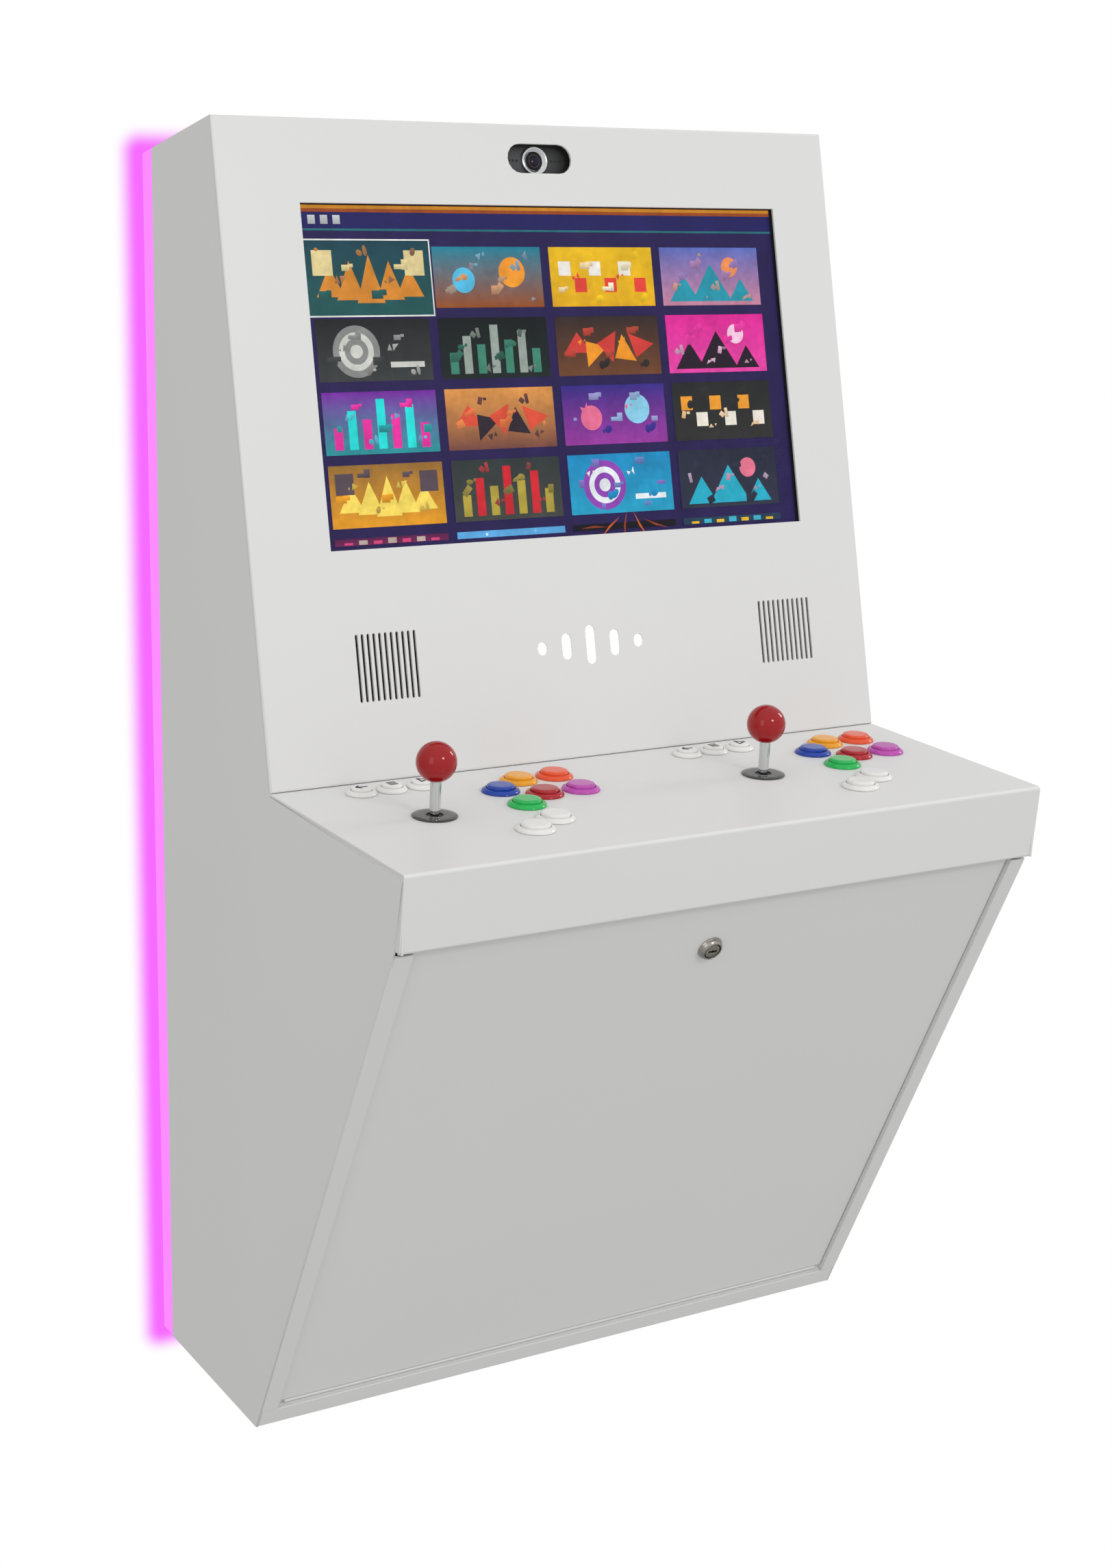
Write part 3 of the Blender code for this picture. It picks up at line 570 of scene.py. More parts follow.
def glowing(name, colour, strength, tone=0.06):
    """A lit diffuser: the same soft pattern drives its colour and its glow."""
    look = coated(name, colour, 0.35, tone=tone, patch=3.0, grain=600.0, depth=0.00001)
    shader = look.node_tree.nodes["Principled BSDF"]
    pattern = next(node for node in look.node_tree.nodes if node.type == "GROUP")
    wire(pattern, "Color", shader, "Emission Color")
    shader.inputs["Specular IOR Level"].default_value = 0.0
    path = add_node(look.node_tree, "ShaderNodeLightPath")
    share = add_node(look.node_tree, "ShaderNodeMapRange", values={"To Min": strength * 0.25, "To Max": strength})
    wire(path, "Is Camera Ray", share, "Value")
    wire(share, 0, shader, "Emission Strength")
    return look


class CabinetStep:
    """What every step of the build shares."""

    bl_options = {"REGISTER", "UNDO"}


# ---- sheet metal --------------------------------------------------------------------------
class CABINET_OT_bezel(CabinetStep, bpy.types.Operator):
    """Front face with rounded corners towards the sides and softened cut-outs"""

    bl_idname = "cabinet.bezel"
    bl_label = "Front bezel"

    def execute(self, context):
        sheet = setting("cabinet_sheet")
        turn = BEZEL.inverted()
        top = span("front_bezel", BEZEL)[1].y
        piece = sheet_copy("front_bezel")

        def on_front(edge):
            return all(abs((turn @ vert.co).z) < 1e-5 for vert in edge.verts)

        def outer(edge):
            ends = [turn @ vert.co for vert in edge.verts]
            long_side = all(abs(abs(end.x) - HALF_WIDTH) < 1e-5 for end in ends)
            return on_front(edge) and (long_side or all(abs(end.y - top) < 1e-5 for end in ends))

        def opening(edge):
            inside = all((turn @ vert.co).y > 0.002 for vert in edge.verts)
            return on_front(edge) and inside and edge.calc_face_angle(0) > 1.2

        round_edges(piece, sheet.corner, 5, outer)
        round_edges(piece, sheet.edge, 2, opening)
        edit(piece, "VERT")
        pick(piece, "verts", lambda vert: (turn @ vert.co).y < 0.001)
        bpy.ops.transform.translate(value=BEZEL.col[1].to_3d() * -0.00048)
        done()
        smooth(piece, 40, weighted=True)
        settle(piece, "bezel_sheet", "cabinet", white_paint(), stands_for=["front_bezel"])
        return {"FINISHED"}


class CABINET_OT_case(CabinetStep, bpy.types.Operator):
    """Sides, top, bottom and back of the case"""

    bl_idname = "cabinet.case"
    bl_label = "Case sheets"

    def side(self, name):
        """A side, brought up to the bezel so that the two read as one folded sheet."""
        sheet = setting("cabinet_sheet")
        piece = sheet_copy("side_panel_" + name)
        turn, door = BEZEL.inverted(), DOOR.inverted()
        edit(piece, "VERT")
        pick(piece, "verts", lambda vert: -0.0032 < (turn @ vert.co).z < -0.0022 and (turn @ vert.co).y > -0.004)
        bpy.ops.transform.translate(value=BEZEL.col[2].to_3d() * 0.0006)
        done()
        level = span("side_panel_" + name, DOOR)[1].z

        def on_fold(edge):
            ends = [door @ vert.co for vert in edge.verts]
            return all(abs(abs(end.x) - HALF_WIDTH) < 1e-5 and abs(end.z - level) < 5e-5 for end in ends)

        def rim(edge):
            ends = [turn @ vert.co for vert in edge.verts]
            outside = all(abs(abs(end.x) - HALF_WIDTH) < 1e-5 for end in ends)
            return outside and not all(-0.0030 < end.z < -0.0015 for end in ends) and edge.calc_face_angle(0) > 1.2

        round_edges(piece, sheet.fold, 5, on_fold)
        round_edges(piece, sheet.edge, 2, rim)
        smooth(piece, 40, weighted=True)
        node = "side_panel_" + name
        settle(piece, "side_sheet_" + name, "cabinet", white_paint(), stands_for=[node])

    def execute(self, context):
        sheet = setting("cabinet_sheet")
        for name in SIDES:
            self.side(name)
        for node, name in (("top_panel", "top_sheet"), ("bottom_panel", "bottom_sheet"), ("rear_panel", "rear_sheet")):
            piece = sheet_copy(node)
            round_edges(piece, sheet.edge, 2, lambda edge: edge.calc_face_angle(0) > 1.2)
            smooth(piece, 40, weighted=True)
            settle(piece, name, "cabinet", white_paint(), stands_for=[node])
        self.lining()
        return {"FINISHED"}

    def lining(self):
        """Turned-in edges round the door opening, and the flanges that carry the deck's two ends."""
        low, high = span("service_door", DOOR)
        face = span("side_panel_left", DOOR)[1].z - 0.0021
        foot = span("bottom_panel", DOOR)[1].y
        edge = high.x + 0.0008
        strips = [block((-edge, foot - 0.0012, -0.0090), (edge, foot - 0.0002, face))]
        strips.append(block((-edge, foot - 0.0002, -0.0045), (edge, low.y - 0.0006, -0.0030)))
        for side in (-1, 1):
            inner, outer = side * edge, side * (edge + 0.0012)
            strips.append(block((min(inner, outer), foot, -0.0090), (max(inner, outer), high.y + 0.004, face)))
        settle(unite(strips), "door_opening_lining", "cabinet", white_paint(), DOOR)
        low, high = span("control_deck", DECK)
        for side, sign in (("left", -1), ("right", 1)):
            near, far = sorted((sign * (HALF_WIDTH - 0.0012), sign * (HALF_WIDTH - 0.0028)))
            flange = [block((near, 0.0110, -0.0110), (far, 0.2400, -0.0014)),
                      block((near, 0.0002, low.z + 0.0006), (far, 0.0110, -0.0014))]
            settle(unite(flange), "deck_end_" + side, "cabinet", white_paint(), DECK)


class CABINET_OT_deck(CabinetStep, bpy.types.Operator):
    """Control deck, its front lip and the turned-in hem"""

    bl_idname = "cabinet.deck"
    bl_label = "Control deck"

    def execute(self, context):
        sheet = setting("cabinet_sheet")
        piece = sheet_copy("control_deck")

        def end_edge(edge):
            return all(abs(abs(vert.co.x) - HALF_WIDTH) < 1e-5 for vert in edge.verts) and edge.calc_face_angle(0) > 1.2

        round_edges(piece, sheet.edge * 1.6, 3, end_edge)
        smooth(piece, 40, weighted=True)
        settle(piece, "deck_sheet", "cabinet", white_paint(), stands_for=["control_deck"])
        return {"FINISHED"}


class CABINET_OT_door(CabinetStep, bpy.types.Operator):
    """Service door, folded back all round"""

    bl_idname = "cabinet.door"
    bl_label = "Service door"

    def execute(self, context):
        sheet = setting("cabinet_sheet")
        piece = sheet_copy("service_door")
        turn = DOOR.inverted()
        low, high = span("service_door", DOOR)

        def outer(edge):
            ends = [turn @ vert.co for vert in edge.verts]
            return all(
                abs(end.z) < 2e-5 and (abs(abs(end.x) - high.x) < 2e-5 or min(end.y - low.y, high.y - end.y) < 2e-5)
                for end in ends
            )

        round_edges(piece, sheet.fold, 5, outer)
        smooth(piece, 40, weighted=True)
        settle(piece, "door_sheet", "door", white_paint(), stands_for=["service_door"])
        return {"FINISHED"}


# ---- display and camera -------------------------------------------------------------------
class CABINET_OT_display(CabinetStep, bpy.types.Operator):
    """Picture of coloured tiles on the monitor, and the glass before it"""

    bl_idname = "cabinet.display"
    bl_label = "Display"

    COLUMNS, ROWS = 4, 5
    LEFT, TOP = 0.0125, 0.1215
    ACROSS, DOWN = 0.2415, 0.2115
    TILE = (0.2235, 0.1815)
    # sky, ground, first and second figure colour, motif
    ARTWORK = (
        ((0.012, 0.060, 0.085), (0.016, 0.100, 0.095), (0.70, 0.26, 0.03), (0.75, 0.62, 0.30), "fan"),
        ((0.010, 0.230, 0.330), (0.330, 0.085, 0.012), (0.10, 0.55, 0.85), (0.95, 0.35, 0.03), "orbs"),
        ((0.860, 0.520, 0.012), (0.820, 0.440, 0.010), (0.80, 0.06, 0.04), (0.90, 0.88, 0.80), "checks"),
        ((0.100, 0.150, 0.480), (0.550, 0.230, 0.330), (0.02, 0.30, 0.40), (0.85, 0.28, 0.10), "peaks"),
        ((0.014, 0.016, 0.017), (0.045, 0.050, 0.050), (0.62, 0.63, 0.58), (0.25, 0.26, 0.25), "rings"),
        ((0.006, 0.010, 0.010), (0.014, 0.022, 0.020), (0.30, 0.36, 0.32), (0.05, 0.24, 0.16), "bars"),
        ((0.030, 0.022, 0.020), (0.160, 0.060, 0.025), (0.85, 0.30, 0.02), (0.65, 0.05, 0.04), "shards"),
        ((0.720, 0.020, 0.300), (0.800, 0.060, 0.380), (0.02, 0.01, 0.02), (0.95, 0.60, 0.80), "peaks"),
        ((0.180, 0.020, 0.350), (0.020, 0.300, 0.330), (0.02, 0.75, 0.72), (0.80, 0.03, 0.35), "bars"),
        ((0.720, 0.300, 0.070), (0.180, 0.065, 0.050), (0.03, 0.02, 0.03), (0.70, 0.08, 0.04), "shards"),
        ((0.035, 0.025, 0.240), (0.300, 0.040, 0.330), (0.80, 0.16, 0.30), (0.25, 0.60, 0.80), "orbs"),
        ((0.020, 0.021, 0.020), (0.030, 0.030, 0.028), (0.85, 0.80, 0.70), (0.85, 0.34, 0.03), "checks"),
        ((0.300, 0.150, 0.030), (0.780, 0.330, 0.015), (0.95, 0.72, 0.12), (0.10, 0.07, 0.09), "fan"),
        ((0.030, 0.040, 0.040), (0.060, 0.065, 0.055), (0.62, 0.02, 0.03), (0.45, 0.35, 0.05), "bars"),
        ((0.012, 0.250, 0.520), (0.020, 0.350, 0.560), (0.80, 0.85, 0.88), (0.28, 0.06, 0.45), "rings"),
        ((0.020, 0.024, 0.045), (0.030, 0.035, 0.060), (0.02, 0.40, 0.55), (0.80, 0.18, 0.28), "peaks"),
        ((0.110, 0.012, 0.070), (0.160, 0.020, 0.090), (0.50, 0.40, 0.35), (0.70, 0.06, 0.20), "bars"),
        ((0.100, 0.380, 0.720), (0.100, 0.380, 0.720), (0.70, 0.80, 0.90), (0.20, 0.50, 0.80), "orbs"),
        ((0.006, 0.006, 0.010), (0.006, 0.006, 0.010), (0.60, 0.12, 0.02), (0.30, 0.05, 0.02), "shards"),
        ((0.020, 0.050, 0.090), (0.020, 0.050, 0.090), (0.05, 0.45, 0.60), (0.80, 0.50, 0.02), "bars"),
    )
    BANDS = (
        (0.012, (0.60, 0.24, 0.020)), (0.022, (0.34, 0.070, 0.012)), (0.070, (0.018, 0.016, 0.115)),
        (0.076, (0.020, 0.160, 0.190)),
    )

    def flat(self, sides, centre, size, top, bottom, turn=0.0):
        """A flat figure: its place and size as shares of the picture, one colour above and one below."""
        self.level += 0.000004
        width, height = self.size
        clear_selection()
        if sides == 4:
            bpy.ops.mesh.primitive_plane_add(size=1)
        else:
            bpy.ops.mesh.primitive_circle_add(vertices=sides, radius=0.5, fill_type="NGON")
        piece = bpy.context.object
        spin = spun(turn, "Z")
        stretch = Matrix.Diagonal((size[0] * width, size[1] * height, 1, 1))
        place = Matrix.Translation(((centre[0] - 0.5) * width, (0.5 - centre[1]) * height,
                                    self.level)) @ spin @ stretch
        piece.matrix_world = place
        shades = piece.data.color_attributes.new("tint", "FLOAT_COLOR", "CORNER")
        heights = [(place @ piece.data.vertices[loop.vertex_index].co).y for loop in piece.data.loops]
        low, high = min(heights), max(heights)
        for corner_shade, height_here in zip(shades.data, heights):
            share = (height_here - low) / max(high - low, 1e-9)
            corner_shade.color = (*(a * share + b * (1 - share) for a, b in zip(top, bottom)), 1.0)
        self.figures.append(piece)

    def motif(self, kind, left, top, wide, tall, first, second):
        """One of six plain patterns inside a tile."""
        def put(sides, u, v, size, shade, turn=0.0):
            self.flat(sides, (left + u * wide, top + v * tall), (size[0] * wide, size[1] * tall), shade, shade,
                      turn)

        ratio = wide * self.size[0] / (tall * self.size[1])
        if kind == "fan":
            for step in range(5):
                put(3, 0.18 + 0.16 * step, 0.62, (0.26, 0.86 - 0.16 * abs(step - 2)), first)
            for u in (0.13, 0.87):
                put(4, u, 0.30, (0.16, 0.34), second)
        elif kind == "orbs":
            put(32, 0.27, 0.55, (0.42 / ratio, 0.42), first)
            put(32, 0.72, 0.42, (0.50 / ratio, 0.50), second)
        elif kind == "checks":
            for step in range(6):
                put(4, 0.14 + 0.145 * step, 0.36 + 0.28 * (step % 2), (0.115, 0.24), first if step % 2 else second)
        elif kind == "peaks":
            put(32, 0.70, 0.34, (0.34 / ratio, 0.34), second)
            for u, size in ((0.22, 0.62), (0.50, 0.86), (0.80, 0.52)):
                put(3, u, 0.93 - size * 0.25, (size * 0.55, size), first)
        elif kind == "rings":
            for size, shade in ((0.84, second), (0.62, first), (0.42, second), (0.22, first)):
                put(32, 0.34, 0.52, (size / ratio, size), shade)
            put(4, 0.78, 0.74, (0.30, 0.09), first)
        elif kind == "bars":
            for step in range(7):
                size = (0.35, 0.62, 0.48, 0.80, 0.55, 0.70, 0.40)[step]
                put(4, 0.12 + 0.127 * step, 0.92 - size / 2, (0.075, size), first if step % 2 else second)
        else:
            for step in range(5):
                put(3, 0.20 + 0.15 * step, 0.50 + 0.10 * (step % 2), (0.30, 0.46), first if step % 2 else second,
                    40 * step)

    def header(self):
        """Plain straight bands along the top, with three small squares at the left."""
        top = 0.0
        for bottom, shade in self.BANDS:
            self.flat(4, (0.5, (top + bottom) / 2), (1.03, bottom - top), shade, shade)
            top = bottom
        for step in range(3):
            self.flat(4, (0.024 + 0.024 * step, 0.044), (0.014, 0.026), (0.62, 0.64, 0.66), (0.42, 0.44, 0.46))

    def details(self, index, left, top, wide, tall, shades):
        """Small figures over a tile, in mixtures of its own colours, spread evenly by a fixed rule."""
        if tall < 0.05:
            return
        for step in range(16):
            along = (0.37 * index + 0.618034 * step) % 1.0
            down = (0.23 * index + 0.754878 * step) % 1.0
            first, second = shades[(step + index) % 4], shades[(step * 3 + 2) % 4]
            share = 0.3 + 0.4 * ((step * 0.37) % 1.0)
            tint = tuple(min(1.0, 1.25 * (a * share + b * (1 - share))) for a, b in zip(first, second))
            sides = (32, 4, 3, 4)[(step + index) % 4]
            size = (0.030 + 0.070 * ((step * 0.43) % 1.0), 0.045 + 0.110 * ((step * 0.29) % 1.0))
            centre = (left + wide * (0.09 + 0.82 * along), top + tall * (0.12 + 0.76 * down))
            turn = 0 if sides == 4 and step % 2 else 25 * (step % 5)
            self.flat(sides, centre, (size[0] * wide, size[1] * tall), tint, tuple(0.6 * value for value in tint),
                      turn)

    def execute(self, context):
        chosen = setting("cabinet_display")
        glass_low, glass_high = span("screen_glass", BEZEL)
        open_low = glass_low + Vector((chosen.margin, chosen.margin, 0))
        open_high = glass_high - Vector((chosen.margin, chosen.margin, 0))
        centre = (open_low + open_high) / 2
        self.size = (open_high.x - open_low.x, open_high.y - open_low.y)
        self.figures, self.level = [], 0.0

        ground = tuple(chosen.background)
        self.flat(4, (0.5, 0.5), (1.03, 1.05), ground, ground)
        self.header()

        for index, (sky, land, first, second, kind) in enumerate(self.ARTWORK):
            column, row = index % self.COLUMNS, index // self.COLUMNS
            wide, tall = self.TILE
            left, top = self.LEFT + column * self.ACROSS, self.TOP + row * self.DOWN
            if row == self.ROWS - 1:
                tall = 0.020
            if index == 0:
                left, top, wide, tall = 0.003, 0.100, 0.248, 0.227
                self.flat(4, (left + wide / 2, top + tall / 2), (wide, tall), (0.80, 0.82, 0.78),
                          (0.80, 0.82, 0.78))
                left, top, wide, tall = left + 0.0025, top + 0.0045, wide - 0.005, tall - 0.009
            self.flat(4, (left + wide / 2, top + tall / 2), (wide, tall), sky, land)
            self.motif(kind, left, top, wide, tall, first, second)
            self.details(index, left, top, wide, tall, (sky, land, first, second))
        dark = (0.004, 0.004, 0.005)
        self.flat(4, (1.004, 0.5), (0.018, 1.06), dark, dark)
        self.flat(4, (0.5, -0.002), (1.06, 0.010), dark, dark)

        bpy.context.view_layer.update()
        picture = unite(self.figures)
        look = bpy.data.materials.new("lit_picture")
        look.use_nodes = True
        tree = look.node_tree
        shader = tree.nodes["Principled BSDF"]
        tint = add_node(tree, "ShaderNodeAttribute", {"attribute_name": "tint"})
        where = add_node(tree, "ShaderNodeTexCoord")
        wash = add_node(tree, "ShaderNodeTexNoise", values={"Scale": 42.0, "Detail": 6.0, "Roughness": 0.7})
        cells = add_node(tree, "ShaderNodeTexVoronoi", values={"Scale": 150.0})
        wire(where, "Object", wash, "Vector")
        wire(where, "Object", cells, "Vector")
        depth = add_node(tree, "ShaderNodeMapRange",
                         values={"From Min": 0.25, "From Max": 0.75, "To Min": 0.80, "To Max": 1.25})
        wire(wash, "Fac", depth, "Value")
        fleck = add_node(tree, "ShaderNodeMapRange", values={"From Max": 0.9, "To Min": 1.06, "To Max": 0.92})
        wire(cells, "Distance", fleck, "Value")
        both = add_node(tree, "ShaderNodeMath", {"operation": "MULTIPLY"})
        wire(depth, 0, both, 0)
        wire(fleck, 0, both, 1)
        shade = add_node(tree, "ShaderNodeVectorMath", {"operation": "SCALE"})
        wire(tint, "Color", shade, 0)
        wire(both, 0, shade, "Scale")
        wire(shade, 0, shader, "Emission Color")
        shader.inputs["Base Color"].default_value = (0.004, 0.004, 0.006, 1)
        shader.inputs["Roughness"].default_value = 0.4
        shader.inputs["Specular IOR Level"].default_value = 0.1
        shader.inputs["Emission Strength"].default_value = chosen.brightness
        front = span("monitor", BEZEL)[1].z + 0.00005
        place = BEZEL @ Matrix.Translation((centre.x, centre.y, front))
        settle(picture, "display_picture", "cabinet", look, place)

        glass = coated("display_glass", (0.01, 0.01, 0.012), 0.04, tone=0.2, patch=14.0, spread=0.05,
                       depth=0.000001, **{"Alpha": 0.05})
        paint_node("screen_glass", glass)
        paint_node("monitor", black_plastic())
        return {"FINISHED"}


class CABINET_OT_camera_module(CabinetStep, bpy.types.Operator):
    """Camera set back behind the slot at the top of the bezel"""

    bl_idname = "cabinet.camera_module"
    bl_label = "Camera module"

    def execute(self, context):
        low, high = span("webcam", BEZEL)
        x, y, front = (low.x + high.x) / 2, (low.y + high.y) / 2, high.z
        place = BEZEL @ Matrix.Translation((x, y, front))
        plate = pill(0.078, 0.0335, 0.0001, 0.0012, 0.0004)
        smooth(plate, 30)
        case = coated("camera_case", (0.036, 0.036, 0.037), 0.45, tone=0.10, grain=1800.0, depth=0.000004)
        settle(plate, "camera_plate", "cabinet", case, place)
        for side in (-1, 1):
            mouth = turned([(0.0013, 0.0), (0.0013, 0.0013), (0.0009, 0.0013), (0.0009, 0.0010), (0, 0.0010)], 20)
            copies = [mouth]
            for step in (1, 2):
                copy = twin(mouth, "mouth")
                copies.append(moved(copy, Matrix.Translation((side * 0.0042 * step, 0, 0))))
            grille = unite(copies)
            name = "camera_microphone_" + ("left" if side < 0 else "right")
            spot = place @ Matrix.Translation((side * 0.0185, 0, 0.0002))
            settle(grille, name, "cabinet", black_plastic(), spot)
        bezel = turned(
            [(0.0082, 0.0012), (0.0141, 0.0012), (0.0142, 0.0019), (0.0139, 0.0029), (0.0132, 0.0036),
             (0.0124, 0.0038), (0.0114, 0.0034), (0.0100, 0.0025), (0.0088, 0.0018), (0.0082, 0.0012)], 64,
             hollow=True)
        smooth(bezel, 50)
        settle(bezel, "camera_ring", "cabinet", bright_chrome(), place, stands_for=["webcam_ring"])
        barrel = turned(
            [(0.0085, 0.0006), (0.0085, 0.0017), (0.0080, 0.0019), (0.0074, 0.0015), (0.0066, 0.0015),
             (0.0060, 0.0012), (0.0054, 0.0008), (0, 0.0008)], 48)
        smooth(barrel, 25)
        settle(barrel, "camera_lens_barrel", "cabinet", gloss_black(), place)
        lens = turned(
            [(0.0052, 0.0009), (0.0052, 0.0013), (0.0046, 0.0018), (0.0036, 0.0022), (0.0022, 0.0025),
             (0.0010, 0.00258), (0, 0.0026)], 40)
        smooth(lens, 60)
        look = coated("lens_glass", (0.010, 0.006, 0.020), 0.03, tone=0.3, grain=300.0, spread=0.02,
                      depth=0.0000005, **{"Specular IOR Level": 0.20, "Coat Weight": 0.10, "Coat Roughness": 0.02})
        settle(lens, "camera_lens", "cabinet", look, place)
        paint_node("webcam", black_plastic())
        return {"FINISHED"}


class CABINET_OT_lights(CabinetStep, bpy.types.Operator):
    """Light frame round the back and the lit pane behind the emblem"""

    bl_idname = "cabinet.lights"
    bl_label = "Light frame and emblem"

    def execute(self, context):
        chosen = setting("cabinet_light")
        piece = sheet_copy("light_frame")
        round_edges(piece, 0.0012, 3, lambda edge: edge.calc_face_angle(0) > 1.2)
        smooth(piece, 40, weighted=True)
        look = glowing("light_diffuser", chosen.frame, 0.40)
        settle(piece, "light_frame_body", "cabinet", look, stands_for=["light_frame"])
        paint_node("emblem_lens", glowing("emblem_pane", (1.0, 0.99, 0.96), chosen.emblem, tone=0.02))
        return {"FINISHED"}


class CABINET_OT_speakers(CabinetStep, bpy.types.Operator):
    """Cone, surround and basket of the two speakers behind their grilles"""

    bl_idname = "cabinet.speakers"
    bl_label = "Speakers"

    def execute(self, context):
        for side in SIDES:
            node = "speaker_" + side
            place = over(node, BEZEL)
            body = turned(
                [(0.0165, -0.034), (0.0165, -0.0225), (0.0255, -0.0205), (0.0335, -0.0062), (0.0340, -0.0056),
                 (0.0340, -0.0031), (0.0320, -0.0031), (0.0310, -0.0045), (0.0290, -0.0034), (0.0265, -0.0045),
                 (0.0130, -0.0125), (0.0100, -0.0095), (0.0060, -0.0078), (0, -0.0072)], 56)
            smooth(body, 28)
            cone = coated("speaker_paper", (0.0035, 0.0035, 0.0037), 0.65, tone=0.35, grain=1500.0, depth=0.00004)
            settle(body, "speaker_driver_" + side, "cabinet", cone, place, stands_for=[node])
        return {"FINISHED"}


# ---- controls -----------------------------------------------------------------------------
class CABINET_OT_buttons(CabinetStep, bpy.types.Operator):
    """Rims and caps of all the push buttons, and the carriers under the deck"""

    bl_idname = "cabinet.buttons"
    bl_label = "Push buttons"

    def rim(self, outer, bore):
        """A housing's visible rim: bevelled outside, rounded over, and open down to the plunger's well."""
        piece = turned(
            [(bore, -0.0003), (bore + 0.0012, -0.0003), (bore + 0.0012, 0.0002), (outer - 0.0006, 0.0002),
             (outer - 0.0001, 0.0003), (outer, 0.0008), (outer - 0.0003, 0.0016), (outer - 0.0010, 0.0025),
             (outer - 0.0020, 0.0032), (outer - 0.0030, 0.0037), (outer - 0.0036, 0.0039), (bore + 0.0003, 0.0038),
             (bore, 0.0034), (bore, -0.0003)], 64, hollow=True)
        smooth(piece, 40)
        return piece

    def cap(self, radius, height):
        """A plunger with a rounded shoulder and an almost flat top."""
        piece = turned(
            [(radius, -0.0055), (radius, height - 0.0020), (radius - 0.0001, height - 0.0013),
             (radius - 0.0004, height - 0.0008), (radius - 0.0010, height - 0.00035),
             (radius - 0.0018, height - 0.00012), (radius - 0.0030, height), (radius * 0.4, height - 0.00004),
             (0, height - 0.00004)], 64)
        smooth(piece, 40)
        return piece

    def symbol(self, kind):
        """Plain marks on the small buttons: an arrow, three bars, a triangle."""
        thick, half, out = 0.00012, 0.0010, 0.0027
        if kind == "back":
            bars = [((-0.0050, -half), (0.0056, half), 0, (0, 0)),
                    ((-0.0030, -half), (0.0030, half), 45, (-0.0034, 0.0019)),
                    ((-0.0030, -half), (0.0030, half), -45, (-0.0034, -0.0019))]
        elif kind == "menu":
            bars = [((-0.0043, -half), (0.0043, half), 0, (0, step * 0.0034)) for step in (-1, 0, 1)]
        else:
            bars = [((-0.0056, -half), (0.0056, half), turn + 90,
                     (out * math.cos(math.radians(turn)),
                      out * math.sin(math.radians(turn)))) for turn in (60, 180, 300)]
        pieces = []
        for low, high, turn, shift in bars:
            bar = block((*low, 0), (*high, thick), 0.00004, 1)
            spin = Matrix.Translation((*shift, 0)) @ spun(turn, "Z")
            pieces.append(moved(bar, spin))
        return unite(pieces)

    def carrier(self, side):
        """The plate and the button bodies under the deck, which the deck hides from above."""
        node = "button_housings_" + side
        piece = sheet_copy(node)
        edit(piece)
        bpy.ops.mesh.select_all(action="SELECT")
        point = DECK @ Vector((0, 0, -0.0004))
        bpy.ops.mesh.bisect(plane_co=point, plane_no=DECK.col[2].to_3d(), use_fill=True, clear_outer=True)
        done()
        smooth(piece, 35)
        settle(piece, "button_carrier_" + side, "cabinet", black_plastic(), stands_for=[node])

    def execute(self, context):
        chosen = setting("cabinet_controls")
        ink = coated("printed_ink", (0.012, 0.012, 0.012), 0.5, tone=0.2)
        large_bore, small_bore, top_large, top_small, clear = 0.0130, 0.0096, 0.0068, 0.0063, 0.0005
        large, small = self.rim(chosen.large_rim, large_bore), self.rim(chosen.small_rim, small_bore)
        large_cap, small_cap = self.cap(large_bore - clear, top_large), self.cap(small_bore - clear, top_small)
        marks = {kind: self.symbol(kind) for kind in SMALL_BUTTONS}
        for side in SIDES:
            self.carrier(side)
            for name in COLOURED_BUTTONS + WHITE_BUTTONS:
                shade = "white" if name in WHITE_BUTTONS else name
                look = moulded(shade, getattr(chosen, shade))
                node = "cap_%s_%s" % (side, name)
                place = over(node, DECK)
                is_small = name in SMALL_BUTTONS
                rim = twin(small if is_small else large, "rim")
                settle(rim, "rim_%s_%s" % (side, name), "cabinet", look, place)
                cap = twin(small_cap if is_small else large_cap, "cap")
                body = "button_%s_%s" % (side, name)
                settle(cap, "plunger_%s_%s" % (side, name), body, look, place,
                       stands_for=[node])
                if is_small:
                    mark = twin(marks[name], "mark")
                    on_top = place @ Matrix.Translation((0, 0, top_small - 0.00004))
                    settle(mark, "mark_%s_%s" % (side, name), body, ink, on_top)
        for pattern in (large, small, large_cap, small_cap, *marks.values()):
            bpy.data.objects.remove(pattern)
        return {"FINISHED"}


